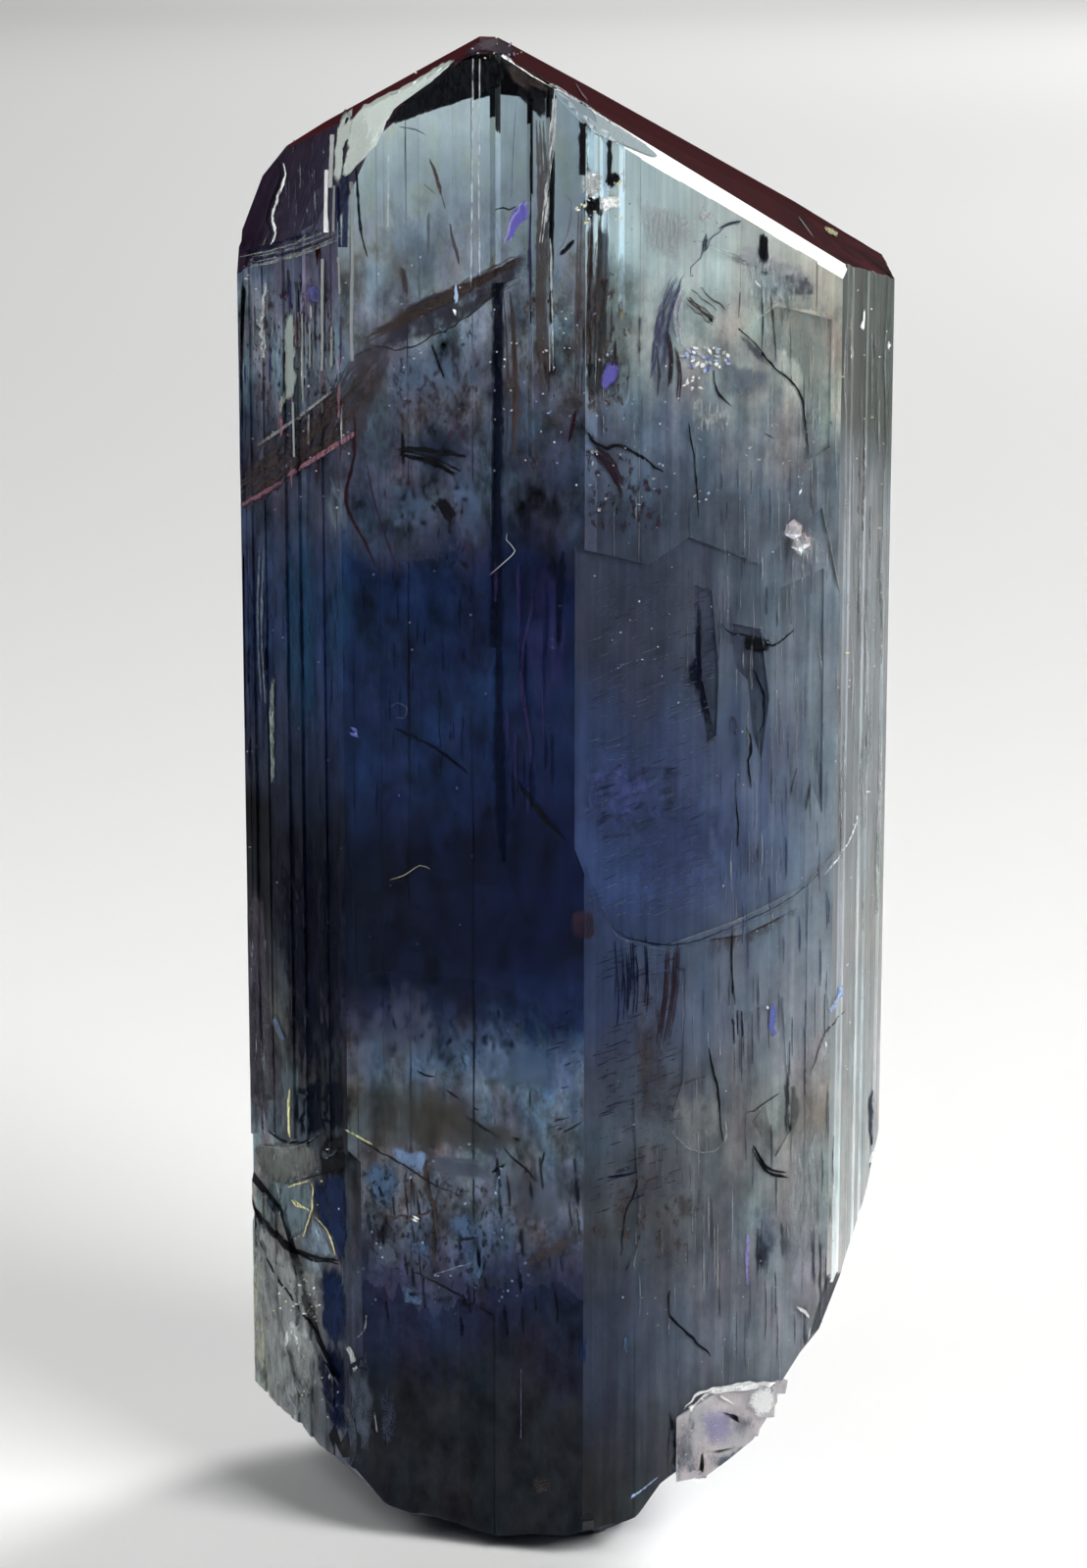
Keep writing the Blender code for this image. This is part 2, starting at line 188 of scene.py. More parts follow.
# Tones that the zones of the stone show against a pale ground.
stoneTones = {
    "open": "#ccd2d8", "clear": "#a4b5ba", "window": "#8496a0", "steel": "#6c7a88", "slate": "#4d5564",
    "dusk": "#383e50", "denim": "#36446a", "waterBlue": "#4a5f7a", "sapphire": "#1f3560", "navy": "#162341",
    "ink": "#0d1531", "night": "#0b101f", "smoke": "#141519", "ash": "#3c3e41", "silver": "#8d9293",
    "pearl": "#b4b8b8", "pewter": "#5c605e", "sage": "#87938f", "plum": "#332733", "burgundy": "#45181d",
    "white": "#f2f4f4", "lavender": "#aeb0bc", "umber": "#453c3b", "olive": "#3c3d3a", "rose": "#8a6272",
    "violet": "#5d57ae", "violetBlue": "#5b68b4", "violetGrey": "#565878", "lilac": "#9a93cf",
    "indigo": "#302b56", "iceBlue": "#a9bfe0", "lemon": "#d6d4a0", "twilight": "#262b42", "mist": "#58667c",
    "plumGrey": "#3d3841", "teal": "#1f3f5c", "iceSteel": "#6c83a4", "mauve": "#47444e",
    "steelTeal": "#5f6e76", "burgundyDark": "#2a1519", "duskBlue": "#313d5c", "stormBlue": "#5c6a80",
    "coal": "#222429", "purple": "#2b2030", "fog": "#a9aeb0", "straw": "#a9a48a", "glacier": "#9cb0be",
    "paleSteel": "#929ba8", "paleSage": "#a6aa9a", "steelBlue": "#7f8c9b", "denimBright": "#3a4a74",
    "stonePale": "#c3c5bd", "duskGrey": "#3d4757", "violetDusk": "#4b4960", "greyViolet": "#565468",
    "veilDark": "#2b2934", "greenWhite": "#c3cdc8", "nightBlue": "#1f2436", "greySilver": "#83888e",
    "slateSilver": "#787d82",
}


def oneTone(tone, frost, streaks=0.0, clouds=1.0):
    # zones of a face that has the same tone all over
    ends = [(0, tone), (42, tone)]
    return {"left": ends, "right": ends, "bend": 1.0, "frost": frost, "streaks": streaks, "clouds": clouds}


footTones = [(0, "coal"), (5, "ash"), (12, "slate")]
# Zones of each kind of face by height in mm, at its left and its right edge as seen from outside. Bend
# below 1 brings the right edge's tones further in, frost is how far the surface is dulled, streaks are its
# growth lines, clouds are how mottled it is, and below soundFrom in mm crowded flaws let no light through.
faceZones = {
    "broken": {"left": footTones, "right": footTones, "bend": 1.0, "frost": 0.9, "streaks": 0.1},
    "brokenRight": {"left": footTones, "right": [(0, "slate"), (5, "pewter"), (12, "silver")],
                    "bend": 1.0, "frost": 0.9, "streaks": 0.1},
    "leftFront": {
        "left": [(2, "fog"), (8, "silver"), (11, "steel"), (14, "pewter"), (16, "ash"), (18, "coal"),
                 (20, "smoke"), (23, "dusk"), (27, "duskBlue"), (30, "dusk"), (31.5, "dusk"), (34, "steel"),
                 (35.3, "stormBlue"), (37, "mist"), (39, "greyViolet")],
        "right": [(3, "dusk"), (6, "twilight"), (8, "dusk"), (10, "coal"), (12.5, "smoke"), (15, "twilight"),
                  (17, "night"), (20, "night"), (22.5, "navy"), (26, "sapphire"), (29, "dusk"),
                  (30.5, "dusk"), (32, "slate"), (34, "steel"), (35.3, "greyViolet"), (38, "violetDusk")],
        "bend": 0.8, "frost": 0.85, "streaks": 0.2},
    "frontLeft": {
        "left": [(1, "coal"), (5, "coal"), (6.4, "nightBlue"), (7.8, "twilight"), (9, "dusk"),
                 (10.2, "slate"), (12.2, "ash"), (13.5, "duskGrey"), (15, "twilight"), (16.6, "night"),
                 (20, "night"), (22, "navy"), (25, "navy"), (28, "navy"), (30, "dusk"), (34, "slate"),
                 (36, "steel"), (38, "window"), (40, "clear")],
        "right": [(1, "coal"), (5, "coal"), (6.6, "nightBlue"), (8, "twilight"), (9, "dusk"), (10, "slate"),
                  (12.5, "slate"), (14, "waterBlue"), (15.5, "navy"), (18, "ink"), (21, "ink"),
                  (24.5, "navy"), (28, "ink"), (31, "dusk"), (33, "slate"), (36, "steel"), (40, "window")],
        "bend": 1.0, "frost": 0.0, "streaks": 0.08, "soundFrom": 7.6},
    "frontRight": {
        "left": [(2, "ash"), (5, "dusk"), (7, "dusk"), (9.5, "ash"), (12.4, "slate"), (14, "dusk"),
                 (16, "duskBlue"), (18, "duskBlue"), (20.7, "denim"), (23, "duskBlue"), (26, "twilight"),
                 (28.5, "dusk"), (30, "dusk"), (31.4, "mist"), (33, "steel"), (34.5, "window"),
                 (36.5, "glacier")],
        "right": [(2, "paleSteel"), (6, "paleSteel"), (9, "paleSteel"), (12.4, "silver"), (15, "paleSteel"),
                  (18, "steelBlue"), (27, "steelBlue"), (30.5, "steel"), (32.4, "fog"), (37, "fog")],
        "bend": 1.6, "frost": 0.8, "streaks": 0.2, "clouds": 0.5},
    "recess": {
        "left": [(18, "duskBlue"), (20, "denimBright"), (22, "denim"), (24, "duskBlue"), (26, "dusk"),
                 (28.5, "dusk"), (30.5, "dusk")],
        "right": [(18, "steelBlue"), (28, "steelBlue"), (29.5, "steel")],
        "bend": 2.6, "frost": 0.85, "streaks": 0.25, "clouds": 0.45},
    "pit": {"left": [(18, "dusk"), (30, "dusk")], "right": [(18, "duskGrey"), (30, "duskGrey")],
            "bend": 1.0, "frost": 0.85, "streaks": 0.3},
    "right": {
        "left": [(8, "fog"), (12, "silver"), (16, "greySilver"), (20, "slateSilver"), (28, "slateSilver"),
                 (30, "slateSilver"), (32, "pewter"), (35, "pewter")],
        "right": [(8, "open"), (13, "open"), (17, "stonePale"), (20, "pearl"), (24, "fog"), (29, "silver"),
                  (31, "pewter"), (35, "pewter")],
        "bend": 1.0, "frost": 0.95, "streaks": 0.2, "clouds": 0.2},
    "back": oneTone("open", frost=0.0, streaks=0.1),
    "left": {"left": [(2, "fog"), (8, "silver"), (11, "steel"), (16, "ash"), (20, "coal"), (23, "dusk"),
                      (27, "duskBlue"), (31, "dusk"), (34, "steel"), (38, "violetDusk")],
             "right": [(2, "fog"), (8, "silver"), (14, "pewter"), (20, "coal"), (23, "dusk"),
                       (27, "duskBlue"), (31, "dusk"), (34, "steel"), (38, "violetDusk")],
             "bend": 1.0, "frost": 0.85, "streaks": 0.2},
    "roof": oneTone("burgundy", frost=0.9, clouds=1.5),
    "leftRoof": {"left": [(36, "purple"), (39, "purple"), (42, "burgundy")],
                 "right": [(36, "violetDusk"), (42, "plum")],
                 "bend": 1.0, "frost": 0.85, "streaks": 0.4, "clouds": 2.0},
    # painted reflection: the narrow wedge facet is painted white, as the lamp mirrored in it
    "paintedHighlightWedge": oneTone("white", frost=1.0, clouds=0.0),
    "chamfer": oneTone("smoke", frost=0.6),
    # painted highlight: the worn edge lines near the top are painted pale straw
    "edge": oneTone("straw", frost=0.9),
    "pale": oneTone("lavender", frost=0.85, clouds=0.4),
}
kindCodes = {name: number for number, name in enumerate(faceZones)}


def nearestSide(x, y, only=None):
    # the side of the prism that a place lies by, how far along it as a share, and how far out in mm
    best = None
    for kind, lines in sideLines.items():
        if only and kind != only:
            continue
        whole = sum((Vector(end) - Vector(start)).length for start, end in lines)
        before = 0.0
        for start, end in lines:
            a, b = Vector(start), Vector(end)
            along = (b - a).normalized()
            reach = (b - a).length
            way = Vector((x, y)) - a
            out = way.dot(Vector((along.y, -along.x)))
            over = max(0.0, -way.dot(along), way.dot(along) - reach)
            if best is None or abs(out) + over < best[0]:
                best = (abs(out) + over, kind, (before + way.dot(along)) / whole, out)
            before += reach
    return best[1:]


# light on an upright face by how far it looks to the right, what looking up adds and looking down takes
lampLight = {
    "aside": [(-1.0, 0.6), (-0.85, 0.64), (-0.62, 0.62), (-0.23, 0.95), (0.23, 1.33), (0.89, 1.35),
              (1.0, 1.35)],
    "up": 0.95,
    "under": 1.3,
    "least": 0.22,
}


def litShare(normal):
    steps = lampLight["aside"]
    for (x0, y0), (x1, y1) in zip(steps, steps[1:]):
        if normal.x <= x1:
            break
    aside = y0 + (y1 - y0) * (min(normal.x, x1) - x0) / (x1 - x0)
    under = max(lampLight["least"], 1 + lampLight["under"] * min(0.0, normal.z))
    return aside * under + lampLight["up"] * max(0.0, min(normal.z, 2 * normal.x))


def faceKind(face, settings):
    x, y, z = face.center / mm
    side, _, out = nearestSide(x, y)
    normal = face.normal
    for low, high in paleBoxes:
        inBox = low[0] < x < high[0] and low[1] < y < high[1] and low[2] < z < high[2]
        if inBox and (out > settings["paleOut"] or normal.y > settings["paleTurn"]):
            return "pale"
    rim = sum((Vector(face.id_data.vertices[a].co) - Vector(face.id_data.vertices[b].co)).length
              for a, b in face.edge_keys) / mm
    # a thin line near the top is painted as a highlight, lower down it keeps its side's look
    if 2 * face.area / mm ** 2 / rim < settings["edgeStrip"]:
        return "edge" if z > settings["roofFrom"] else side
    for kind, (spot, looks) in topFaces.items():
        near = (Vector((x, y, z)) - Vector(spot)).length < settings["topReach"]
        if near and normal.dot(Vector(looks).normalized()) > settings["topFit"]:
            return kind
    if z > settings["roofFrom"] and normal.z > settings["roofSlope"]:
        onLeft = normal.x < settings["leftRoofTurn"] and normal.z < settings["leftRoofRise"]
        return "leftRoof" if onLeft else "roof"
    keepsLook = side in settings["chippedSides"] and z > settings["breakTop"]
    if abs(normal.z) > settings["breakSlope"] and not keepsLook:
        return "brokenRight" if side in ("frontRight", "right") else "broken"
    if side == "frontRight" and settings["recessFloor"][0] < z < settings["recessFloor"][1]:
        if out < -settings["pitFrom"] and x < settings["pitTo"]:
            return "pit"
        if out < -settings["recessFrom"]:
            return "recess"
    return side


def makeCrystal(settings):
    pickOnly(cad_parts["tanzanite_crystal"])
    bpy.ops.object.duplicate()
    crystal = bpy.context.object
    crystal.name = crystal.data.name = "crystal"
    for key in list(crystal.keys()):
        del crystal[key]
    crystal.parent = None
    crystal.data.materials.clear()
    bpy.ops.object.mode_set(mode="EDIT")
    bpy.ops.mesh.select_all(action="SELECT")
    bpy.ops.mesh.remove_doubles(threshold=settings["mergeWithin"] * mm)
    bpy.ops.mesh.dissolve_limited(angle_limit=math.radians(settings["flatWithin"]))
    bpy.ops.object.mode_set(mode="OBJECT")
    near, far = settings["smoothStep"]
    shallow, deepest = settings["stepDepth"]
    for vertex in crystal.data.vertices:
        x, y, z = vertex.co / mm
        side, _, out = nearestSide(x, y)
        if side == "back" and near < x < far and shallow < -out < deepest and z > settings["breakTop"]:
            vertex.co.y -= out * mm
    bevel = crystal.modifiers.new("worn edges", "BEVEL")
    bevel.width = settings["edgeWidth"] * mm
    bevel.segments = 1
    bevel.angle_limit = math.radians(settings["edgeAngle"])
    bpy.ops.object.modifier_apply(modifier=bevel.name)
    mesh = crystal.data
    for name in ("faceKind", "frost", "streaks", "clouds", "paintedLightEvening", "soundFrom"):
        mesh.attributes.new(name, "FLOAT", "FACE")
    mesh.attributes.new("across", "FLOAT", "CORNER")
    notes = {layer.name: layer.data for layer in mesh.attributes}
    for face in mesh.polygons:
        kind = faceKind(face, settings)
        notes["faceKind"][face.index].value = kindCodes[kind]
        notes["frost"][face.index].value = faceZones[kind]["frost"]
        notes["streaks"][face.index].value = faceZones[kind]["streaks"]
        notes["clouds"][face.index].value = faceZones[kind].get("clouds", 1.0)
        notes["soundFrom"][face.index].value = faceZones[kind].get("soundFrom", settings["soundAll"])
        side = nearestSide(face.center.x / mm, face.center.y / mm)[0]
        rim = sum((mesh.vertices[a].co - mesh.vertices[b].co).length for a, b in face.edge_keys)
        lift = 1.0
        if 2 * face.area / rim < settings["grooveStrip"] * mm and kind in sideLines:
            lift = settings["grooveLightPaint"]
        # painted light and shade: a dulled face's colour is brightened where the lamps light it less and
        # darkened where they light it more, so that it shows its zones' own tones
        notes["paintedLightEvening"][face.index].value = 1 if kind == "paintedHighlightWedge" else lift / litShare(face.normal)
        for corner in face.loop_indices:
            x, y, _ = mesh.vertices[mesh.loops[corner].vertex_index].co / mm
            notes["across"][corner].value = min(1.0, max(0.0, nearestSide(x, y, side)[1]))
    return crystal


# Zoisite crystal, grown and broken: glassy faces with fine upright growth lines, bumped into the surface and
# also painted as lighter and darker streaks for the light they catch.
tanzaniteSettings = {
    "ior": 1.69,
    "absorbs": "#93b5e8",
    "absorbDensity": 60.0,  # per metre
    "mirror": "#3f3f3f",  # tints what the glassy faces mirror
    "roughness": 0.04,
    "frostRoughness": 0.4,
    "gain": (1.9, 1.7, 1.37),  # lifts a tone to what the near wall must let through
    "clearest": 0.9,  # the palest that the colour of clear stone gets
    "kindWithin": 0.4,  # how near a face's code is to that of its kind
    "waveSize": 3.0,  # mm, how coarsely and how far the borders of the zones wander
    "waveReach": 2.2,
    "waveDetail": 5.0,
    "raggedSize": (0.3, 6.25),  # mm across and along, the borders' teeth
    "raggedReach": 0.6,
    "raggedDetail": 3.0,
    "raggedAcross": 0.5,  # how far the teeth also reach from edge to edge
    "streakSize": (0.13, 9.0),  # mm across and along, coarser than the finest real lines so that it shows
    "streakDetail": 2.0,
    "streakShade": 0.5,  # how far the growth lines brighten and darken the stone, as painted light and shade of the streaks
    "streakBump": 0.02,  # mm
    "mottleSize": (0.8, 1.4),  # mm across and along
    "mottleDetail": 8.0,
    "mottleRoughness": 0.68,
    # how strongly the stone is clouded by height in mm
    "clouded": [(1, 0.6), (6, 0.6), (9, 0.95), (13, 0.95), (16, 0.55), (22, 0.6), (28, 0.75), (30, 1.0),
                (34.5, 1.0), (36.5, 0.4), (38, 0.15)],
    "hueSize": (1.0, 2.2),  # mm across and along
    "hueDetail": 4.0,
    "hueOffset": (7.0, 3.0, 5.0),  # keeps the hue's clouds off the mottling's
    "hueShift": (0.16, -0.11, -0.14),  # the clouds lean to brown violet one way and to blue the other
    "opaqueBelow": (0.0005, 0.006),  # brightness from which the darkest stone lets light through
    "dullBelow": 0.5,  # what a wall lets through, below which it turns from clear to matte stone
}


def makeTanzanite(settings):
    material, tree = newMaterial("tanzanite crystal")
    coords = addNode(tree, "ShaderNodeTexCoord")
    place = addNode(tree, "ShaderNodeVectorMath", {0: coords.outputs["Object"], "Scale": 1 / mm},
                    operation="SCALE").outputs[0]
    axes = addNode(tree, "ShaderNodeSeparateXYZ", {0: place})
    kind, frost, streaks, across, clouds, paintedLightEvening, soundFrom = [
        addNode(tree, "ShaderNodeAttribute", attribute_name=name).outputs["Fac"]
        for name in ("faceKind", "frost", "streaks", "across", "clouds", "paintedLightEvening", "soundFrom")]

    # the borders of the zones wander and have upright teeth
    wave = addNode(tree, "ShaderNodeTexNoise", {
        "Vector": place, "Scale": 1 / settings["waveSize"], "Detail": settings["waveDetail"]})
    wide, tall = settings["raggedSize"]
    upright = addNode(tree, "ShaderNodeMapping", {"Vector": place, "Scale": (1 / wide, 1 / wide, 1 / tall)})
    rag = addNode(tree, "ShaderNodeTexNoise", {
        "Vector": upright.outputs[0], "Scale": 1.0, "Detail": settings["raggedDetail"]})
    height = axes.outputs["Z"]
    for noise, reach in ((wave, settings["waveReach"]), (rag, settings["raggedReach"])):
        centred = addNode(tree, "ShaderNodeMath", {0: noise.outputs["Fac"], 1: 0.5}, operation="SUBTRACT")
        height = addNode(tree, "ShaderNodeMath", {0: centred.outputs[0], 1: 2 * reach, 2: height},
                         operation="MULTIPLY_ADD").outputs[0]
    share = addNode(tree, "ShaderNodeMath", {0: height, 1: crystalHeight}, operation="DIVIDE").outputs[0]
    sideways = addNode(tree, "ShaderNodeMath", {0: rag.outputs["Fac"], 1: 0.5}, operation="SUBTRACT")
    sideways = addNode(tree, "ShaderNodeMath", {
        0: sideways.outputs[0], 1: settings["raggedAcross"], 2: across}, operation="MULTIPLY_ADD").outputs[0]

    # each kind of face mixes the tones of its two edges
    tone = None
    for name, zones in faceZones.items():
        ends = [addNode(tree, "ShaderNodeValToRGB", {"Fac": share},
                        stops=[(up / crystalHeight, stoneTones[word]) for up, word in zones[end]])
                for end in ("left", "right")]
        bent = addNode(tree, "ShaderNodeMath", {0: sideways, 1: zones["bend"]},
                       operation="POWER", use_clamp=True)
        face = addNode(tree, "ShaderNodeMix", {
            0: bent.outputs[0], 6: ends[0].outputs[0], 7: ends[1].outputs[0]}, data_type="RGBA").outputs[2]
        if tone is None:
            tone = face
            continue
        here = addNode(tree, "ShaderNodeMath", {
            0: kind, 1: float(kindCodes[name]), 2: settings["kindWithin"]}, operation="COMPARE")
        tone = addNode(tree, "ShaderNodeMix", {0: here.outputs[0], 6: tone, 7: face},
                       data_type="RGBA").outputs[2]

    # growth lines, mottling and hue, each a noise whose values run from -1 to 1
    shades = {}
    noises = {}
    for name, offset, roughness in (("streak", (0, 0, 0), 0.5),
                                    ("mottle", (0, 0, 0), settings["mottleRoughness"]),
                                    ("hue", settings["hueOffset"], 0.5)):
        wide, tall = settings[name + "Size"]
        drawn = addNode(tree, "ShaderNodeMapping", {
            "Vector": place, "Scale": (1 / wide, 1 / wide, 1 / tall), "Location": offset})
        noises[name] = addNode(tree, "ShaderNodeTexNoise", {
            "Vector": drawn.outputs[0], "Scale": 1.0, "Detail": settings[name + "Detail"],
            "Roughness": roughness}).outputs["Fac"]
        shades[name] = addNode(tree, "ShaderNodeMapRange", {
            "Value": noises[name], "From Min": noiseSpan[0], "From Max": noiseSpan[1],
            "To Min": -1.0, "To Max": 1.0}).outputs[0]
    # painted light and shade: the growth lines lighten and darken the colour in streaks
    bright = addNode(tree, "ShaderNodeMath", {0: shades["streak"], 1: streaks}, operation="MULTIPLY")
    bright = addNode(tree, "ShaderNodeMath", {0: bright.outputs[0], 1: settings["streakShade"], 2: 1.0},
                     operation="MULTIPLY_ADD")
    clouded = addNode(tree, "ShaderNodeValToRGB", {"Fac": share},
                      stops=[(up / crystalHeight, strength) for up, strength in settings["clouded"]])
    clouded = addNode(tree, "ShaderNodeMath", {0: clouded.outputs[0], 1: clouds}, operation="MULTIPLY")
    cloudy = addNode(tree, "ShaderNodeMath", {0: shades["mottle"], 1: clouded.outputs[0]},
                     operation="MULTIPLY")
    cloudy = addNode(tree, "ShaderNodeMath", {0: cloudy.outputs[0], 1: 1.0}, operation="ADD")
    bright = addNode(tree, "ShaderNodeMath", {0: bright.outputs[0], 1: cloudy.outputs[0]},
                     operation="MULTIPLY")
    tone = addNode(tree, "ShaderNodeVectorMath", {0: tone, "Scale": bright.outputs[0]},
                   operation="SCALE").outputs[0]
    hue = addNode(tree, "ShaderNodeMath", {0: shades["hue"], 1: clouded.outputs[0]}, operation="MULTIPLY")
    shift = addNode(tree, "ShaderNodeVectorMath", {0: settings["hueShift"], "Scale": hue.outputs[0]},
                    operation="SCALE")
    shift = addNode(tree, "ShaderNodeVectorMath", {0: shift.outputs[0], 1: (1, 1, 1)}, operation="ADD")
    tone = addNode(tree, "ShaderNodeVectorMath", {0: tone, 1: shift.outputs[0]},
                   operation="MULTIPLY").outputs[0]

    # the shader tints by the root of its colour at each wall, so what a wall lets through is squared
    gained = addNode(tree, "ShaderNodeVectorMath", {0: tone, 1: settings["gain"]},
                     operation="MULTIPLY").outputs[0]
    clear = addNode(tree, "ShaderNodeVectorMath", {0: gained, 1: gained}, operation="MULTIPLY").outputs[0]
    most = [settings["clearest"]] * 3
    clear = addNode(tree, "ShaderNodeVectorMath", {0: clear, 1: most}, operation="MINIMUM").outputs[0]
    # matte stone takes the painted light and shade that evens out the lamps
    matte = addNode(tree, "ShaderNodeVectorMath", {0: tone, "Scale": paintedLightEvening}, operation="SCALE").outputs[0]
    thirds = (0.333, 0.333, 0.333)
    light = addNode(tree, "ShaderNodeVectorMath", {0: tone, 1: thirds}, operation="DOT_PRODUCT")
    low, high = settings["opaqueBelow"]
    glassy = addNode(tree, "ShaderNodeMapRange", {
        "Value": light.outputs["Value"], "From Min": low, "From Max": high})
    sound = addNode(tree, "ShaderNodeMath", {0: height, 1: soundFrom}, operation="GREATER_THAN")
    glassy = addNode(tree, "ShaderNodeMath", {0: glassy.outputs[0], 1: sound.outputs[0]},
                     operation="MULTIPLY")
    polished = addNode(tree, "ShaderNodeMath", {0: 1.0, 1: frost}, operation="SUBTRACT")
    letThrough = addNode(tree, "ShaderNodeMath", {0: polished.outputs[0], 1: glassy.outputs[0]},
                         operation="MULTIPLY").outputs[0]
    dull = addNode(tree, "ShaderNodeMapRange", {
        "Value": letThrough, "From Min": settings["dullBelow"], "From Max": 0.0})
    color = addNode(tree, "ShaderNodeMix", {0: dull.outputs[0], 6: clear, 7: matte},
                    data_type="RGBA").outputs[2]
    rough = addNode(tree, "ShaderNodeMapRange", {
        "Value": frost, "To Min": settings["roughness"], "To Max": settings["frostRoughness"]}).outputs[0]
    bump = addNode(tree, "ShaderNodeBump", {"Height": noises["streak"],
                                            "Distance": settings["streakBump"] * mm, "Strength": streaks})
    glass = addNode(tree, "ShaderNodeBsdfPrincipled", {
        "Base Color": color,
        "Roughness": rough,
        "IOR": settings["ior"],
        "Specular IOR Level": 0.0,
        "Specular Tint": toLinear(settings["mirror"]),
        "Transmission Weight": letThrough,
        "Normal": bump.outputs[0]})
    inside = addNode(tree, "ShaderNodeVolumeAbsorption", {
        "Color": toLinear(settings["absorbs"]), "Density": settings["absorbDensity"]})
    addNode(tree, "ShaderNodeOutputMaterial", {"Surface": glass.outputs[0], "Volume": inside.outputs[0]})
    return material


crystal = makeCrystal(crystalSettings)
crystal.data.materials.append(makeTanzanite(tanzaniteSettings))
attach(crystal, "root")
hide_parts("tanzanite_crystal")
print("crystal ready", len(crystal.data.polygons), "faces")

# The stone's flaws as thin films on its faces, placed by paths of photograph pixels.
markSettings = {
    "step": 6.0,  # pixels between the rows of cells along a stroke
    "rings": 11.0,  # pixels between the rings of a patch
    "fewestRings": 3,
    "thin": 0.85,  # share of its given width that a stroke is drawn with
    "tip": (0.02, 0.15, 0.6),  # where a stroke's taper stops, how thin it is there, and how full it is
    "rows": ((-0.5, 0.0), (-0.2, 1.0), (0.2, 1.0), (0.5, 0.0)),  # across a stroke, with how solid each is
    "proudSpread": 0.006,  # mm, so that no two films lie at the same height
    "film": 0.01,  # mm
    "joinWithin": 0.0005,  # mm
}
stoneTree = BVHTree.FromPolygons([crystal.matrix_world @ v.co for v in crystal.data.vertices],
                                 [list(face.vertices) for face in crystal.data.polygons])


def touchStone(pixel, proud):
    # a place just off the face of the stone that a pixel shows, and the light there
    start, way = sightLine(pixel, cameraSettings)
    spot, normal, _, _ = stoneTree.ray_cast(start, way)
    if spot is None:
        return None
    return spot + normal * proud * mm, litShare(normal)


def smoothPath(points, step, closed=False):
    # evenly spaced places on a curve through the points
    points = [Vector(point) for point in points]
    count = len(points)
    if count == 2:
        points = [points[0], (points[0] + points[1]) / 2, points[1]]
        count = 3
    places = []
    for i in range(count if closed else count - 1):
        around = [i + k for k in (-1, 0, 1, 2)]
        a, b, c, d = [points[k % count] if closed else points[min(max(k, 0), count - 1)] for k in around]
        steps = max(1, round((c - b).length / step))
        for k in range(steps):
            t = k / steps
            places.append(0.5 * (2 * b + (c - a) * t + (2 * a - 5 * b + 4 * c - d) * t * t
                                 + (3 * b - a - 3 * c + d) * t ** 3))
    if not closed:
        places.append(points[-1])
    return places


def strokeRows(mark, settings):
    # rows of four places across a tapering stroke, each with how near it is to the stroke's middle
    path = smoothPath(mark["path"], settings["step"])
    jitter, blunt, uneven = mark["jitter"], mark["blunt"], mark["uneven"]
    margin, thinnest, fullness = settings["tip"]
    rows = []
    for i, middle in enumerate(path):
        along = (path[min(i + 1, len(path) - 1)] - path[max(i - 1, 0)]).normalized()
        aside = Vector((-along.y, along.x))
        share = i / (len(path) - 1)
        bulge = math.sin(math.pi * min(max(share, margin), 1 - margin)) ** fullness
        taper = 1.0 if blunt else max(thinnest, bulge)
        middle = middle + aside * random.uniform(-jitter, jitter)
        width = mark["width"] * settings["thin"] * taper * random.uniform(1 - uneven, 1 + uneven)
        end = 0.0 if i in (0, len(path) - 1) and not blunt else 1.0
        row = []
        for place, core in settings["rows"]:
            found = touchStone(middle + aside * place * width, mark["proud"])
            row.append((found, core * end * mark["solid"]))
        known = [found for found, _ in row if found]
        if known:
            rows.append([(found or known[0], core) for found, core in row])
    return rows if len(rows) > 1 else []


def patchRows(mark, settings):
    # rings of places from a patch's rim to its middle, each ring closed on itself
    rim = smoothPath(mark["path"], mark["step"], closed=True)
    jitter = mark["jitter"]
    rim = [place + Vector((random.uniform(-jitter, jitter), random.uniform(-jitter, jitter)))
           for place in rim]
    middle = sum(rim, Vector((0, 0))) / len(rim)
    reach = max((place - middle).length for place in rim)
    count = max(settings["fewestRings"], math.ceil(reach / settings["rings"]))
    rows = []
    for k in range(count + 1):
        share = k / count
        ring = [touchStone(place.lerp(middle, share), mark["proud"]) for place in rim]
        known = [found for found in ring if found]
        if not known:
            return []
        row = [(found or known[0], min(mark["solid"], share / mark["feather"])) for found in ring]
        rows.append(row + row[:1])
    return rows


def laySheet(rows, breaks):
    # one ruled grid laid along the rows, cut where one stroke ends and the next starts
    across = len(rows[0]) - 1
    pickNothing()
    bpy.ops.mesh.primitive_grid_add(x_subdivisions=across, y_subdivisions=len(rows) - 1, size=1)
    sheet = bpy.context.object
    mesh = sheet.data
    low, high = cadBox
    for vertex, (place, _) in zip(mesh.vertices, [cell for row in rows for cell in row]):
        vertex.co = [min(max(value, low[axis]), high[axis]) for axis, value in enumerate(place[0])]
    if breaks:
        bpy.ops.object.mode_set(mode="EDIT")
        bpy.ops.mesh.select_mode(type="FACE")
        bpy.ops.mesh.select_all(action="DESELECT")
        bpy.ops.object.mode_set(mode="OBJECT")
        for row in breaks:
            for cell in range(across):
                mesh.polygons[(row - 1) * across + cell].select = True
        bpy.ops.object.mode_set(mode="EDIT")
        bpy.ops.mesh.delete(type="ONLY_FACE")
        bpy.ops.mesh.select_mode(type="VERT")
        bpy.ops.object.mode_set(mode="OBJECT")
    return sheet


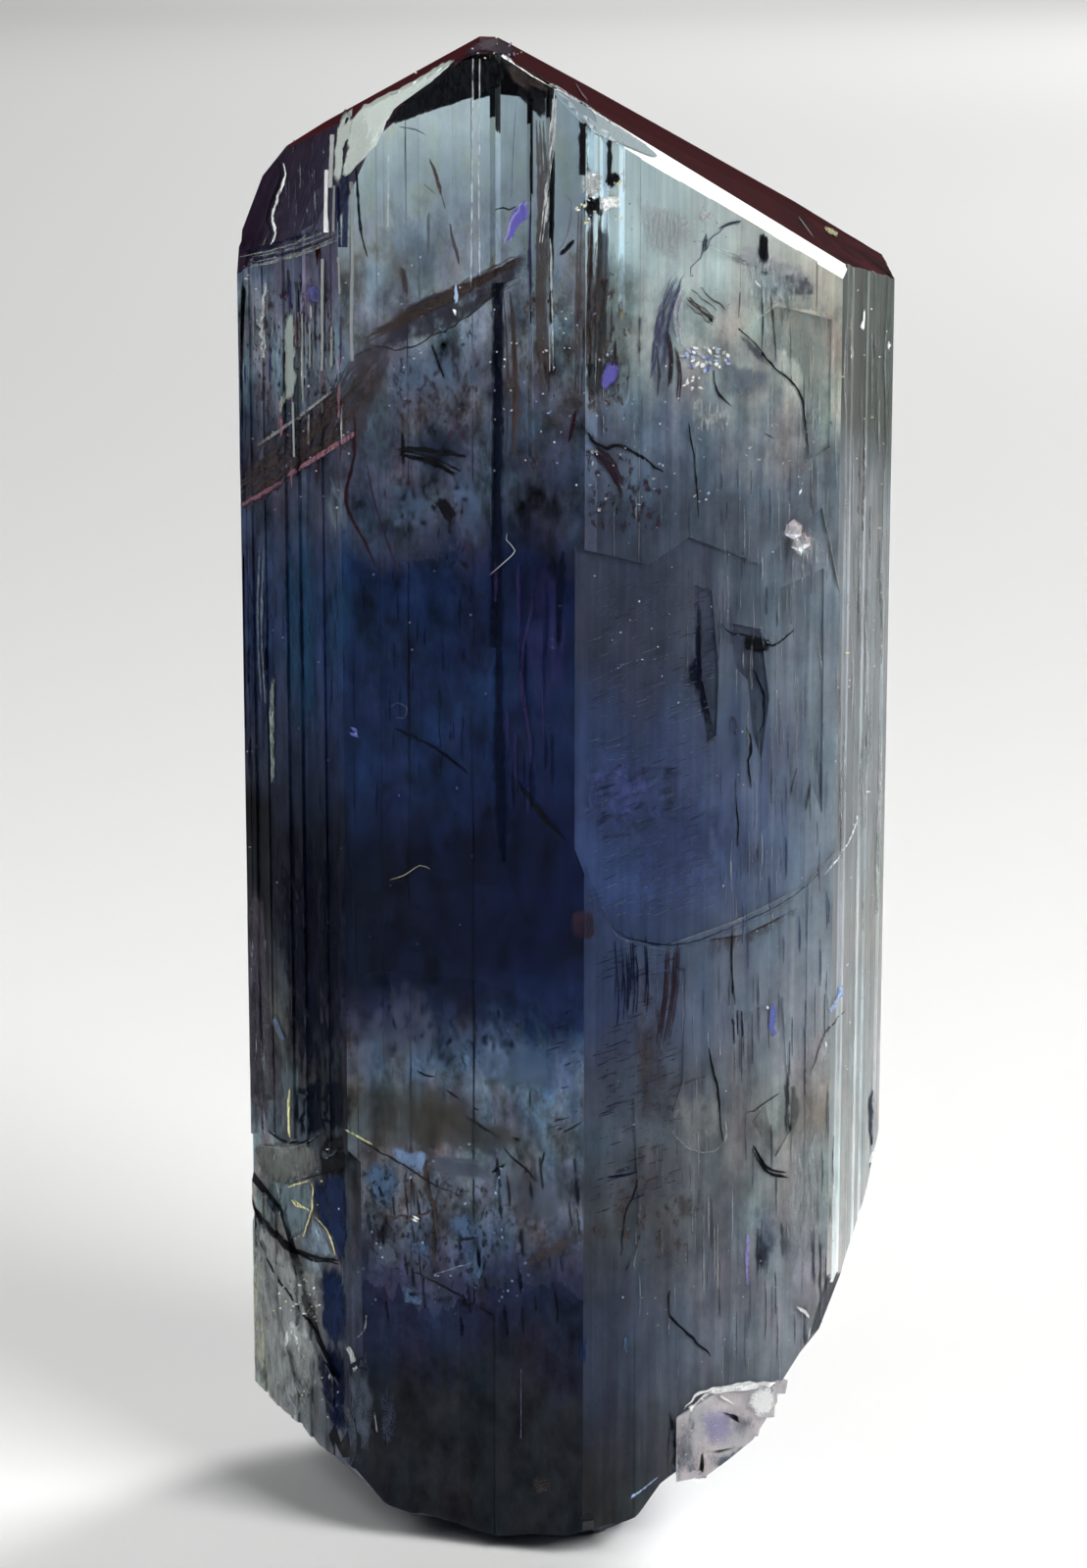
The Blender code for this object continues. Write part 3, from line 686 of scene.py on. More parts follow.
def makeMarks(name, marks, material, proud, settings):
    # one piece from a family of marks: a sheet for each patch and one for all the strokes, given thickness
    strokes = []
    breaks = []
    notes = []
    sheets = []
    for mark in marks:
        for _ in range(mark["strands"]):
            spread = mark["spread"]
            shift = Vector((random.uniform(-spread, spread), random.uniform(-spread, spread)))
            moved = dict(mark, path=[Vector(point) + shift for point in mark["path"]],
                         proud=proud + random.uniform(0, settings["proudSpread"]))
            rows = patchRows(moved, settings) if mark["patch"] else strokeRows(moved, settings)
            if not rows:
                continue
            if mark["patch"]:
                sheets.append((laySheet(rows, []), [(cell, mark) for row in rows for cell in row]))
            else:
                if strokes:
                    breaks.append(len(strokes))
                strokes += rows
                notes += [(cell, mark) for row in rows for cell in row]
    if strokes:
        sheets.append((laySheet(strokes, breaks), notes))
    for sheet, cells in sheets:
        mesh = sheet.data
        cores = mesh.attributes.new("core", "FLOAT", "POINT")
        covers = mesh.attributes.new("cover", "FLOAT", "POINT")
        tones = mesh.attributes.new("tone", "FLOAT_COLOR", "POINT")
        for index, (((_, lit), core), mark) in enumerate(cells):
            cores.data[index].value = core
            covers.data[index].value = mark["cover"]
            # painted light and shade: each mark's colour is divided by the lamps' light on its face, so it is
            # brighter where less light falls
            tones.data[index].color = [part / lit for part in toLinear(stoneTones[mark["tone"]])[:3]] + [1.0]
    pickNothing()
    for sheet, _ in sheets:
        sheet.select_set(True)
    bpy.context.view_layer.objects.active = sheets[0][0]
    if len(sheets) > 1:
        bpy.ops.object.join()
    piece = bpy.context.object
    piece.name = piece.data.name = name
    bpy.ops.object.mode_set(mode="EDIT")
    bpy.ops.mesh.select_all(action="SELECT")
    bpy.ops.mesh.delete_loose(use_verts=True, use_edges=True)
    bpy.ops.mesh.select_all(action="SELECT")
    bpy.ops.mesh.remove_doubles(threshold=settings["joinWithin"] * mm)
    bpy.ops.mesh.normals_make_consistent(inside=False)
    bpy.ops.object.mode_set(mode="OBJECT")
    film = piece.modifiers.new("film", "SOLIDIFY")
    film.thickness = settings["film"] * mm
    film.offset = 0.0
    bpy.ops.object.modifier_apply(modifier=film.name)
    piece.data.materials.append(material)
    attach(piece, "root")
    print(name, "ready", len(piece.data.polygons), "faces")


filmNoise = {"detail": 5.0, "roughness": 0.65}  # the pattern that breaks up every film


def makeFilm(name, settings):
    # a thin film whose cover fades to its rim, broken up by a pattern drawn out along the crystal
    material, tree = newMaterial(name)
    coords = addNode(tree, "ShaderNodeTexCoord")
    width, height = settings["grain"]
    place = addNode(tree, "ShaderNodeMapping", {
        "Vector": coords.outputs["Object"],
        "Scale": (1 / (width * mm), 1 / (width * mm), 1 / (height * mm))})
    noise = addNode(tree, "ShaderNodeTexNoise", {
        "Vector": place.outputs[0], "Scale": 1.0,
        "Detail": filmNoise["detail"], "Roughness": filmNoise["roughness"]})
    core = addNode(tree, "ShaderNodeAttribute", attribute_name="core").outputs["Fac"]
    cover = addNode(tree, "ShaderNodeAttribute", attribute_name="cover").outputs["Fac"]
    tone = addNode(tree, "ShaderNodeAttribute", attribute_name="tone").outputs["Color"]
    centred = addNode(tree, "ShaderNodeMath", {0: noise.outputs["Fac"], 1: 0.5}, operation="SUBTRACT")
    broken = addNode(tree, "ShaderNodeMath", {0: centred.outputs[0], 1: settings["broken"], 2: core},
                     operation="MULTIPLY_ADD")
    low, high = settings["edge"]
    shown = addNode(tree, "ShaderNodeMapRange", {
        "Value": broken.outputs[0], "From Min": low, "From Max": high}, interpolation_type="SMOOTHSTEP")
    alpha = addNode(tree, "ShaderNodeMath", {0: shown.outputs[0], 1: cover}, operation="MULTIPLY")
    uneven = addNode(tree, "ShaderNodeMapRange", {
        "Value": noise.outputs["Fac"], "From Min": noiseSpan[0], "From Max": noiseSpan[1],
        "To Min": 1 - settings["uneven"], "To Max": 1 + settings["uneven"]})
    color = addNode(tree, "ShaderNodeVectorMath", {0: tone, "Scale": uneven.outputs[0]}, operation="SCALE")
    film = addNode(tree, "ShaderNodeBsdfPrincipled", {
        "Base Color": color.outputs[0],
        "Roughness": settings["roughness"],
        "Specular IOR Level": settings["shine"],
        "Alpha": alpha.outputs[0]})
    addNode(tree, "ShaderNodeOutputMaterial", {"Surface": film.outputs[0]})
    return material


# What a mark is unless it says otherwise: spread, jitter and step are pixels, solid above 1 widens its core,
# and feather is the share of a patch over which it fades.
strokeHabit = {"patch": False, "strands": 1, "spread": 0.0, "jitter": 0.0, "blunt": False, "uneven": 0.3,
               "solid": 1.0}
patchHabit = {"patch": True, "strands": 1, "spread": 0.0, "jitter": 2.0, "step": 9.0, "feather": 0.5,
              "solid": 1.0}


def stroke(tone, width, cover, path, **more):
    return dict(strokeHabit, tone=tone, width=width, cover=cover, path=path, **more)


def patch(tone, cover, path, **more):
    return dict(patchHabit, tone=tone, cover=cover, path=path, **more)


# the least and the most of its given size that a spread fibre or speck has, and a fibre's sway by its length
spreadSettings = {
    "fibreReach": (0.4, 1.0),
    "fibreSway": (-0.02, 0.02),
    "fibreWidth": (0.6, 1.4),
    "fibreCover": (0.6, 1.0),
    "speckReach": (0.4, 1.2),
    "speckWidth": (0.5, 0.9),
    "speckSolid": 1.8,
}


def fibresIn(box, count, tones, width, length, cover, lean=0.0):
    # loose fibres along the crystal, spread over a box of the photograph
    left, top, right, bottom = box
    marks = []
    for _ in range(count):
        x, y = random.uniform(left, right), random.uniform(top, bottom)
        reach = random.uniform(*spreadSettings["fibreReach"]) * length
        sway = random.uniform(*spreadSettings["fibreSway"]) * reach
        tone = random.choice(tones)
        path = [(x, y), (x + sway + lean * reach / 2, y + reach / 2), (x + lean * reach, y + reach)]
        wide = random.uniform(*spreadSettings["fibreWidth"]) * width
        marks.append(stroke(tone, wide, random.uniform(*spreadSettings["fibreCover"]) * cover, path))
    return marks


def specksIn(box, count, tones, size, cover):
    # short stubby strokes, spread over a box of the photograph
    left, top, right, bottom = box
    marks = []
    for _ in range(count):
        x, y = random.uniform(left, right), random.uniform(top, bottom)
        turn = random.uniform(0, math.pi)
        way = Vector((math.cos(turn), math.sin(turn)))
        reach = way * random.uniform(*spreadSettings["speckReach"]) * size
        tone = random.choice(tones)
        wide = random.uniform(*spreadSettings["speckWidth"]) * size
        marks.append(stroke(tone, wide, cover, [(x, y), (x + reach.x, y + reach.y)],
                            solid=spreadSettings["speckSolid"]))
    return marks


random.seed(4)
# Parts of the stone with their own colour, grown in as zones with soft borders.
zoneSettings = {"grain": (0.3, 0.6), "broken": 2.6, "edge": (0.1, 1.5), "uneven": 0.35, "roughness": 0.5,
                "shine": 0.02}
zoneMarks = [
    # clouded stone at the top and the veils over the left side
    patch("umber", 0.8, [(512, 62), (540, 70), (562, 84), (558, 98), (534, 92), (516, 78)], feather=0.3),
    patch("umber", 0.3, [(587, 206), (614, 204), (620, 290), (612, 390), (588, 404), (585, 300)],
          feather=0.6),
    patch("pewter", 0.3, [(604, 232), (650, 262), (662, 330), (640, 400), (600, 395), (592, 300)]),
    patch("slate", 0.35, [(380, 200), (430, 190), (480, 250), (450, 300), (385, 320), (372, 250)],
          feather=0.9),
    patch("steel", 0.5, [(730, 370), (768, 372), (790, 384), (775, 402), (745, 408), (732, 396)]),
    patch("sage", 0.45, [(770, 290), (846, 292), (850, 380), (846, 455), (822, 440), (815, 380), (775, 340)]),
    patch("lavender", 0.35, [(745, 250), (800, 262), (845, 292), (800, 300), (760, 282)]),
    patch("plumGrey", 0.6, [(244, 470), (270, 440), (320, 415), (362, 360), (392, 340), (409, 354),
                            (378, 440), (330, 470), (291, 497), (244, 527)], feather=0.2),
    patch("veilDark", 0.9, [(400, 320), (440, 300), (504, 275), (540, 256), (538, 278), (504, 303),
                            (464, 332), (409, 354), (380, 352)], feather=0.2),
    patch("pewter", 0.35, [(430, 332), (450, 318), (480, 308), (510, 292), (530, 284), (504, 304),
                           (464, 331)], feather=0.3),
    patch("twilight", 0.5, [(440, 440), (500, 420), (500, 480), (470, 500), (400, 480), (380, 430)],
          feather=0.8),
    patch("waterBlue", 0.6, [(393, 494), (420, 490), (442, 505), (440, 533), (412, 540), (396, 525)]),
    patch("waterBlue", 0.5, [(452, 480), (492, 486), (494, 560), (470, 548), (462, 515)]),
    patch("steel", 0.4, [(334, 488), (352, 486), (356, 543), (338, 545)]),
    patch("waterBlue", 0.35, [(386, 366), (440, 352), (480, 358), (495, 390), (440, 410), (395, 400)]),
    patch("dusk", 0.6, [(393, 542), (430, 536), (462, 538), (470, 562), (430, 580), (395, 573)]),
    patch("indigo", 0.25, [(548, 560), (578, 600), (585, 700), (560, 740), (532, 700), (530, 620)]),
    # teal light inside the left corner
    patch("teal", 0.5, [(286, 540), (322, 536), (326, 752), (290, 756)], feather=0.5),
    patch("teal", 0.35, [(330, 560), (356, 560), (360, 700), (332, 700)], feather=0.6),
    patch("navy", 0.35, [(250, 560), (282, 560), (284, 760), (252, 780)], feather=0.6),
    patch("night", 0.75, [(276, 860), (352, 850), (352, 1100), (300, 1104), (286, 1000)], feather=0.4),
    # middle of the right front side
    patch("denim", 0.35, [(600, 790), (660, 780), (740, 800), (790, 850), (770, 900), (700, 940), (640, 930),
                          (610, 880)], feather=0.7),
    patch("violetBlue", 0.25, [(592, 776), (640, 756), (690, 790), (676, 840), (610, 850)], feather=1.0),
    patch("plum", 0.8, [(584, 930), (605, 928), (607, 956), (592, 960), (583, 948)], feather=0.3,
          jitter=0.8),
    patch("umber", 0.45, [(640, 975), (680, 970), (688, 1080), (680, 1170), (650, 1200), (640, 1090)],
          feather=0.9),
    patch("umber", 0.45, [(690, 964), (740, 956), (790, 940), (826, 918), (800, 948), (730, 978)],
          feather=0.9),
    patch("umber", 0.45, [(690, 1215), (706, 1216), (708, 1245), (692, 1246)], feather=0.7),
    patch("denim", 0.4, [(765, 1228), (795, 1226), (796, 1290), (768, 1290)], feather=0.9),
    patch("smoke", 0.5, [(770, 1262), (784, 1262), (786, 1300), (772, 1300)], feather=0.9),
    patch("silver", 0.3, [(682, 1116), (730, 1108), (744, 1140), (722, 1176), (690, 1168)]),
    patch("pewter", 0.7, [(800, 1102), (811, 1103), (818, 1126), (812, 1150), (802, 1160)], feather=0.3),
    patch("lavender", 0.35, [(800, 1240), (840, 1180), (846, 1300), (810, 1380), (790, 1330)], feather=0.9),
    # the clouded bands low on the left front side
    patch("slate", 0.35, [(355, 1036), (400, 1008), (420, 997), (440, 1010), (470, 1040), (478, 1060),
                          (462, 1095), (430, 1088), (400, 1095), (356, 1095)], feather=0.7),
    patch("waterBlue", 0.6, [(474, 1050), (500, 1040), (535, 1060), (560, 1075), (566, 1100), (548, 1112),
                              (520, 1114), (500, 1108), (482, 1085)], feather=0.4),
    patch("iceSteel", 0.5, [(482, 1062), (500, 1052), (524, 1070), (528, 1096), (506, 1104), (488, 1086)]),
    patch("waterBlue", 0.9, [(380, 1066), (389, 1066), (389, 1094), (381, 1092)], feather=0.4, step=5.0,
          jitter=1.0),
    patch("olive", 0.6, [(352, 1112), (400, 1100), (430, 1098), (470, 1120), (520, 1145), (560, 1160),
                         (575, 1176), (500, 1184), (440, 1172), (390, 1168), (352, 1152)], feather=0.5),
    patch("iceSteel", 0.75, [(398, 1170), (436, 1176), (434, 1196), (416, 1192), (400, 1182)], feather=0.3,
          solid=1.6),
    patch("waterBlue", 0.8, [(364, 1196), (385, 1182), (402, 1187), (410, 1204), (404, 1230), (386, 1234),
                             (378, 1212)], feather=0.3, solid=1.6),
    patch("slate", 0.7, [(442, 1178), (496, 1184), (494, 1204), (448, 1197)], feather=0.3, solid=1.6),
    patch("waterBlue", 0.85, [(453, 1244), (478, 1236), (487, 1242), (487, 1262), (462, 1260)], feather=0.3,
          solid=1.6),
    patch("waterBlue", 0.7, [(420, 1266), (436, 1264), (437, 1286), (424, 1288)], feather=0.4, step=6.0,
          solid=1.6),
    patch("slate", 0.8, [(378, 1260), (398, 1256), (410, 1280), (404, 1296), (384, 1288)], feather=0.4,
          solid=1.6),
    patch("waterBlue", 0.75, [(480, 1272), (492, 1272), (492, 1312), (482, 1314)], feather=0.4, step=6.0,
          solid=1.6),
    patch("waterBlue", 0.8, [(406, 1310), (420, 1308), (431, 1322), (428, 1332), (412, 1330)], feather=0.5,
          step=6.0, solid=1.6),
    patch("slate", 0.5, [(500, 1190), (560, 1186), (590, 1200), (588, 1240), (530, 1264), (500, 1250)],
          feather=0.8),
    patch("umber", 0.55, [(530, 1290), (560, 1268), (597, 1252), (598, 1262), (570, 1278), (540, 1292)],
          feather=0.4),
    patch("slate", 0.7, [(354, 1368), (366, 1366), (380, 1400), (384, 1460), (372, 1490), (355, 1484)],
          feather=0.5),
    patch("dusk", 0.8, [(386, 1418), (402, 1420), (403, 1466), (390, 1472)], feather=0.5),
    patch("umber", 0.5, [(538, 1508), (562, 1508), (560, 1522), (542, 1522)], feather=0.7),
    patch("steel", 0.6, [(684, 1440), (704, 1440), (716, 1470), (716, 1510), (684, 1512)], feather=0.9),
    patch("steel", 0.5, [(716, 1484), (748, 1474), (774, 1476), (744, 1504), (716, 1510)], feather=0.9),
    patch("violetGrey", 0.3, [(736, 1440), (768, 1434), (778, 1456), (750, 1474)], feather=0.9),
    patch("sapphire", 0.7, [(590, 1360), (597, 1362), (597, 1392), (591, 1390)], feather=0.5, step=6.0),
    # the broken foot of the left corner
    patch("mauve", 0.8, [(250, 905), (270, 910), (278, 1040), (290, 1100), (292, 1150), (255, 1148),
                         (250, 1040)], feather=0.3),
    patch("night", 0.9, [(300, 1108), (352, 1100), (352, 1152), (330, 1156), (304, 1160)], feather=0.25),
    patch("pewter", 0.9, [(263, 1166), (318, 1165), (328, 1180), (322, 1196), (298, 1204), (288, 1212),
                          (266, 1200)], feather=0.2, solid=1.5),
    patch("smoke", 0.9, [(327, 1160), (352, 1158), (352, 1198), (328, 1200)], feather=0.25, solid=1.5),
    patch("silver", 0.7, [(256, 1240), (290, 1262), (318, 1290), (326, 1330), (322, 1440), (300, 1470),
                          (262, 1410)], feather=0.2, solid=1.5),
    patch("steelTeal", 0.9, [(286, 1206), (318, 1204), (319, 1230), (310, 1262), (298, 1268), (284, 1250)],
          feather=0.2, solid=1.5),
    patch("navy", 0.9, [(322, 1202), (352, 1198), (352, 1290), (340, 1270), (322, 1236)], feather=0.2,
          solid=1.5),
    patch("steel", 0.8, [(318, 1242), (330, 1254), (344, 1284), (322, 1280), (306, 1272)], feather=0.3,
          solid=1.5),
    patch("silver", 0.75, [(268, 1280), (300, 1288), (328, 1296), (330, 1340), (322, 1352), (296, 1316),
                           (280, 1298)], feather=0.3, solid=1.5),
    patch("white", 0.9, [(283, 1314), (298, 1340), (312, 1362), (304, 1390), (290, 1420), (284, 1430),
                         (282, 1370)], feather=0.5, solid=1.4),
    patch("silver", 0.6, [(298, 1345), (330, 1384), (318, 1420), (300, 1440), (286, 1440)], feather=0.5,
          solid=1.4),
    patch("navy", 0.9, [(330, 1294), (351, 1296), (352, 1372), (334, 1368), (328, 1340)], feather=0.25,
          solid=1.5),
    patch("paleSage", 0.8, [(252, 1262), (262, 1250), (272, 1310), (278, 1440), (258, 1420), (250, 1330)],
          feather=0.3, solid=1.5),
    patch("ink", 0.85, [(326, 1372), (352, 1376), (352, 1470), (340, 1462), (330, 1430)], feather=0.3),
]

# Cracks that the stone has healed and needles of dark mineral in them, with a few dark marks of painted
# shade, each said where it stands.
crackAndShadeSettings = {"grain": (0.1, 0.35), "broken": 1.8, "edge": (0.2, 1.1), "uneven": 0.4, "roughness": 0.5,
                 "shine": 0.02}
crackAndShadeMarks = [
    # painted shade: the black triangle under the apex and the dark patches beside it, for the dark inside
    # that the top mirrors
    patch("smoke", 1.0, [(471, 58), (514, 60), (518, 84), (480, 101), (430, 118), (399, 128), (394, 127),
                         (414, 102), (446, 76)], feather=0.1, jitter=0.6),
    patch("smoke", 0.95, [(524, 87), (556, 90), (558, 122), (545, 116), (533, 104)], feather=0.2, jitter=1),
    patch("plum", 0.9, [(471, 57), (489, 41), (500, 36), (512, 37), (528, 48), (524, 58), (500, 56)],
          feather=0.15, jitter=0.5, step=6.0),
    stroke("dusk", 2.4, 0.8, [(405, 129), (424, 132), (437, 139)]),
    stroke("umber", 7, 0.85, [(438, 160), (445, 178), (451, 200)], jitter=0.5),
    stroke("umber", 2, 0.8, [(450, 196), (455, 214)]),
    stroke("umber", 1.6, 0.5, [(430, 185), (446, 199)]),
    stroke("umber", 6, 0.4, [(438, 214), (437, 262)]),
    stroke("umber", 5, 0.7, [(458, 226), (464, 250), (470, 272)], jitter=1),
    stroke("umber", 8, 0.4, [(410, 270), (414, 300)], strands=3, spread=6),
    stroke("smoke", 3.5, 0.9, [(502, 216), (514, 211), (520, 214), (529, 208)], jitter=0.8),
    stroke("smoke", 5, 1.0, [(364, 166), (366, 205), (369, 238), (376, 264)]),
    stroke("smoke", 3, 1.0, [(541, 76), (541, 140), (542, 206)], blunt=True),
    stroke("indigo", 6, 0.8, [(541, 204), (540, 260), (542, 332)]),
    stroke("slate", 1.6, 0.6, [(527, 100), (524, 150), (522, 204)]),
    stroke("umber", 8, 0.6, [(551, 120), (554, 200), (552, 300), (556, 400)], strands=3, spread=4),
    stroke("smoke", 5, 0.8, [(563, 150), (561, 250), (560, 330)], strands=3, spread=3),
    stroke("umber", 5, 0.6, [(520, 300), (524, 380), (522, 470)], strands=5, spread=6),
    stroke("smoke", 13, 0.9, [(595, 104), (595, 140), (595, 178)], strands=2, spread=1, blunt=True),
    stroke("smoke", 7, 0.9, [(621, 122), (622, 160), (621, 192)]),
    stroke("umber", 5, 0.45, [(598, 212), (596, 280), (595, 350), (594, 410)], strands=3, spread=9),
    stroke("umber", 4, 0.35, [(612, 220), (610, 280), (604, 350), (600, 410)], strands=3, spread=9),
    patch("smoke", 1.0, [(596, 202), (612, 198), (614, 220), (604, 226), (595, 216)], feather=0.4),
    patch("smoke", 1.0, [(618, 174), (630, 173), (634, 186), (624, 192), (617, 186)], feather=0.4),
    stroke("smoke", 7, 0.95, [(588, 242), (580, 252), (569, 262)]),
    stroke("pewter", 2, 0.6, [(573, 196), (583, 206), (580, 236), (570, 256)]),
    patch("smoke", 1.0, [(774, 237), (783, 240), (783, 268), (775, 266)], feather=0.3, jitter=0.4, step=5.0),
    patch("smoke", 1.0, [(775, 276), (785, 278), (784, 282), (776, 280)], feather=0.3, jitter=0.4, step=4.0),
    stroke("dusk", 4, 0.9, [(731, 234), (744, 228), (758, 225)]),
    stroke("dusk", 3, 0.9, [(722, 238), (720, 256)], strands=3, spread=4),
    stroke("steel", 3, 0.8, [(757, 226), (732, 235), (721, 252), (710, 268), (699, 284)], jitter=3),
    stroke("dusk", 2, 0.7, [(755, 294), (753, 326)]),
    stroke("dusk", 2.4, 0.8, [(776, 290), (778, 330), (776, 366)]),
    stroke("dusk", 2.4, 0.7, [(786, 300), (789, 330), (792, 372)]),
    stroke("dusk", 2, 0.6, [(806, 326), (807, 396)]),
    stroke("violetGrey", 4, 0.4, [(694, 284), (684, 308), (676, 340), (672, 384)], strands=8, spread=8,
           jitter=1),
    stroke("indigo", 2, 0.35, [(698, 286), (686, 310), (680, 350), (680, 384)], strands=4, spread=8,
           jitter=1),
    stroke("plum", 4, 0.6, [(680, 345), (684, 372), (682, 402)], strands=6, spread=12),
    stroke("umber", 3, 0.5, [(704, 300), (720, 314), (734, 326)], strands=7, spread=9, jitter=2),
    stroke("smoke", 5, 0.9, [(722, 322), (728, 330)]),
    # painted shade under the jagged ledge
    patch("dusk", 0.4, [(752, 334), (770, 350), (792, 376), (776, 372), (758, 356)], feather=0.8),
    stroke("smoke", 3.4, 0.95, [(752, 333), (771, 352), (790, 375), (812, 394), (820, 418), (825, 469)],
           jitter=0.8),
    stroke("smoke", 4, 0.95, [(729, 374), (728, 388), (734, 403), (748, 415)], jitter=0.6),
    stroke("smoke", 6, 0.95, [(597, 440), (614, 456), (636, 455), (656, 468), (677, 483)], jitter=1.2),
    stroke("plum", 8, 0.7, [(606, 458), (622, 472), (636, 500)], strands=3, spread=5),
    stroke("burgundyDark", 8, 0.8, [(588, 416), (584, 436), (580, 452)]),
    stroke("smoke", 3, 0.9, [(702, 430), (708, 470), (713, 530)], jitter=0.5),
    stroke("smoke", 3, 0.7, [(776, 440), (792, 448)]),
    # the veil's lower edge and the needles below it
    stroke("smoke", 3, 0.7, [(352, 372), (380, 353), (409, 356), (440, 344), (464, 331), (504, 302),
                             (536, 284)], jitter=1.5),
    stroke("umber", 7, 0.5, [(380, 346), (420, 326), (470, 300), (530, 268)], strands=9, spread=9,
           jitter=1.5),
    stroke("umber", 7, 0.45, [(246, 500), (290, 470), (330, 440), (380, 372)], strands=9, spread=12,
           jitter=2),
    stroke("smoke", 5, 1.0, [(440, 349), (446, 366), (455, 388)], jitter=0.6),
    stroke("burgundyDark", 6, 0.9, [(362, 420), (362, 461), (354, 500), (356, 522), (370, 548), (384, 578)],
           jitter=0.6),
    stroke("plum", 4, 0.6, [(374, 470), (382, 510), (398, 560), (412, 590)]),
    stroke("smoke", 9, 0.95, [(404, 458), (440, 459), (478, 466)], jitter=1),
    stroke("smoke", 5, 0.7, [(408, 462), (440, 470), (468, 484)], strands=4, spread=4),
    stroke("smoke", 6, 0.9, [(411, 438), (412, 476)]),
    patch("smoke", 0.95, [(447, 503), (458, 508), (467, 526), (462, 536), (450, 525), (443, 512)],
          feather=0.4),
    stroke("night", 20, 0.9, [(508, 288), (508, 400), (507, 520), (507, 660)], blunt=True, uneven=0.1),
    stroke("night", 22, 0.6, [(509, 655), (510, 760), (514, 880)]),
    stroke("night", 14, 0.6, [(575, 560), (572, 600), (570, 660)]),
    stroke("smoke", 5, 0.8, [(402, 744), (440, 760), (480, 790)], jitter=1.5),
    stroke("smoke", 9, 0.9, [(526, 793), (548, 824), (576, 856)], jitter=1),
    # steps and pits on the right front side
    patch("night", 0.7, [(713, 595), (717, 640), (716, 668), (722, 735), (733, 766), (722, 758), (708, 712),
                         (696, 700), (698, 676), (706, 664), (709, 620)], feather=0.6, jitter=1),
    patch("smoke", 0.9, [(758, 645), (778, 648), (790, 656), (780, 667), (758, 664)], feather=0.4),
    stroke("smoke", 4, 0.9, [(732, 634), (746, 644), (761, 649), (788, 658), (810, 640)], jitter=1.5),
    stroke("night", 4, 0.9, [(766, 676), (776, 700), (780, 724), (774, 750)], jitter=1),
    stroke("umber", 3, 0.8, [(744, 728), (750, 736), (752, 748)], jitter=0.6),
    stroke("smoke", 4, 0.9, [(760, 740), (766, 756), (763, 782), (767, 806)], jitter=0.8),
    stroke("smoke", 3, 0.9, [(750, 808), (752, 836), (753, 866)], jitter=0.8),
    stroke("smoke", 3, 0.8, [(747, 742), (752, 752)]),
    stroke("navy", 2.4, 0.5, [(596, 880), (608, 912), (622, 941), (644, 957), (698, 962), (779, 930),
                              (822, 903), (851, 875)], jitter=0.8),
    stroke("plum", 3, 0.7, [(686, 965), (684, 1010), (676, 1060)], strands=9, spread=8),
    stroke("ink", 2.4, 0.6, [(640, 966), (642, 1000), (640, 1030)], strands=14, spread=22),
    stroke("smoke", 3.5, 0.95, [(747, 944), (746, 985), (750, 1026)]),
    stroke("ink", 3, 0.8, [(752, 1030), (753, 1060)], strands=3, spread=8),
    # low down
    stroke("smoke", 3, 0.9, [(424, 1090), (434, 1096), (447, 1098)]),
    stroke("smoke", 3.4, 0.9, [(454, 1110), (470, 1121)]),
    stroke("smoke", 3, 0.9, [(471, 1130), (478, 1134)]),
    stroke("smoke", 3.4, 0.9, [(481, 1128), (491, 1133)]),
    stroke("smoke", 3.4, 0.95, [(475, 1138), (494, 1150), (512, 1161)], jitter=0.6),
    stroke("smoke", 3, 0.9, [(541, 1109), (541, 1131)]),
    stroke("smoke", 4, 0.9, [(521, 1159), (535, 1164)]),
    stroke("smoke", 3.4, 0.95, [(513, 1168), (521, 1179), (533, 1188), (549, 1206)], jitter=0.5),
    stroke("smoke", 5, 0.9, [(499, 1196), (518, 1187)], jitter=1),
    stroke("smoke", 3, 0.9, [(556, 1173), (552, 1191)]),
    stroke("smoke", 3, 0.8, [(572, 1155), (584, 1150), (596, 1142)]),
    stroke("smoke", 3, 0.95, [(352, 1150), (384, 1172), (416, 1190), (440, 1206), (468, 1218)], jitter=0.8),
    stroke("umber", 6, 0.8, [(388, 1240), (410, 1240), (440, 1236), (448, 1206)], jitter=2),
    stroke("umber", 7, 0.7, [(436, 1180), (438, 1210), (446, 1240), (444, 1290)], jitter=2, strands=2,
           spread=2),
    stroke("smoke", 4, 0.8, [(462, 1264), (488, 1262)], jitter=1),
    stroke("smoke", 3, 0.9, [(420, 1295), (462, 1316), (505, 1342)], jitter=0.6),
    stroke("smoke", 5, 0.9, [(274, 1151), (286, 1161), (302, 1165), (318, 1163), (332, 1154)], jitter=0.8),
    stroke("smoke", 7, 0.8, [(258, 1220), (266, 1240), (283, 1258), (300, 1275), (325, 1284), (350, 1288)],
           jitter=2, strands=3, spread=3),
    stroke("smoke", 3.6, 1.0, [(264, 1262), (280, 1296), (300, 1325), (320, 1355), (334, 1374)], jitter=0.8),
    stroke("smoke", 3, 0.7, [(298, 1206), (322, 1199), (352, 1192)]),
    stroke("smoke", 4, 0.9, [(722, 1066), (728, 1095), (732, 1112), (737, 1166)], jitter=0.5),
    stroke("smoke", 4, 0.8, [(767, 1168), (782, 1192), (803, 1197)], strands=4, spread=4),
    stroke("ink", 4, 0.95, [(617, 1200), (634, 1199), (652, 1194)], jitter=0.6),
    stroke("smoke", 3, 0.9, [(654, 1196), (644, 1222), (636, 1246), (634, 1282)], jitter=0.8),
    stroke("smoke", 5, 0.8, [(683, 1313), (683, 1341), (706, 1364), (727, 1384)], jitter=1),
    stroke("umber", 8, 0.8, [(604, 1254), (614, 1258)], jitter=2, strands=2, spread=3),
    stroke("umber", 3, 0.5, [(680, 1112), (700, 1104), (722, 1096)], jitter=1),
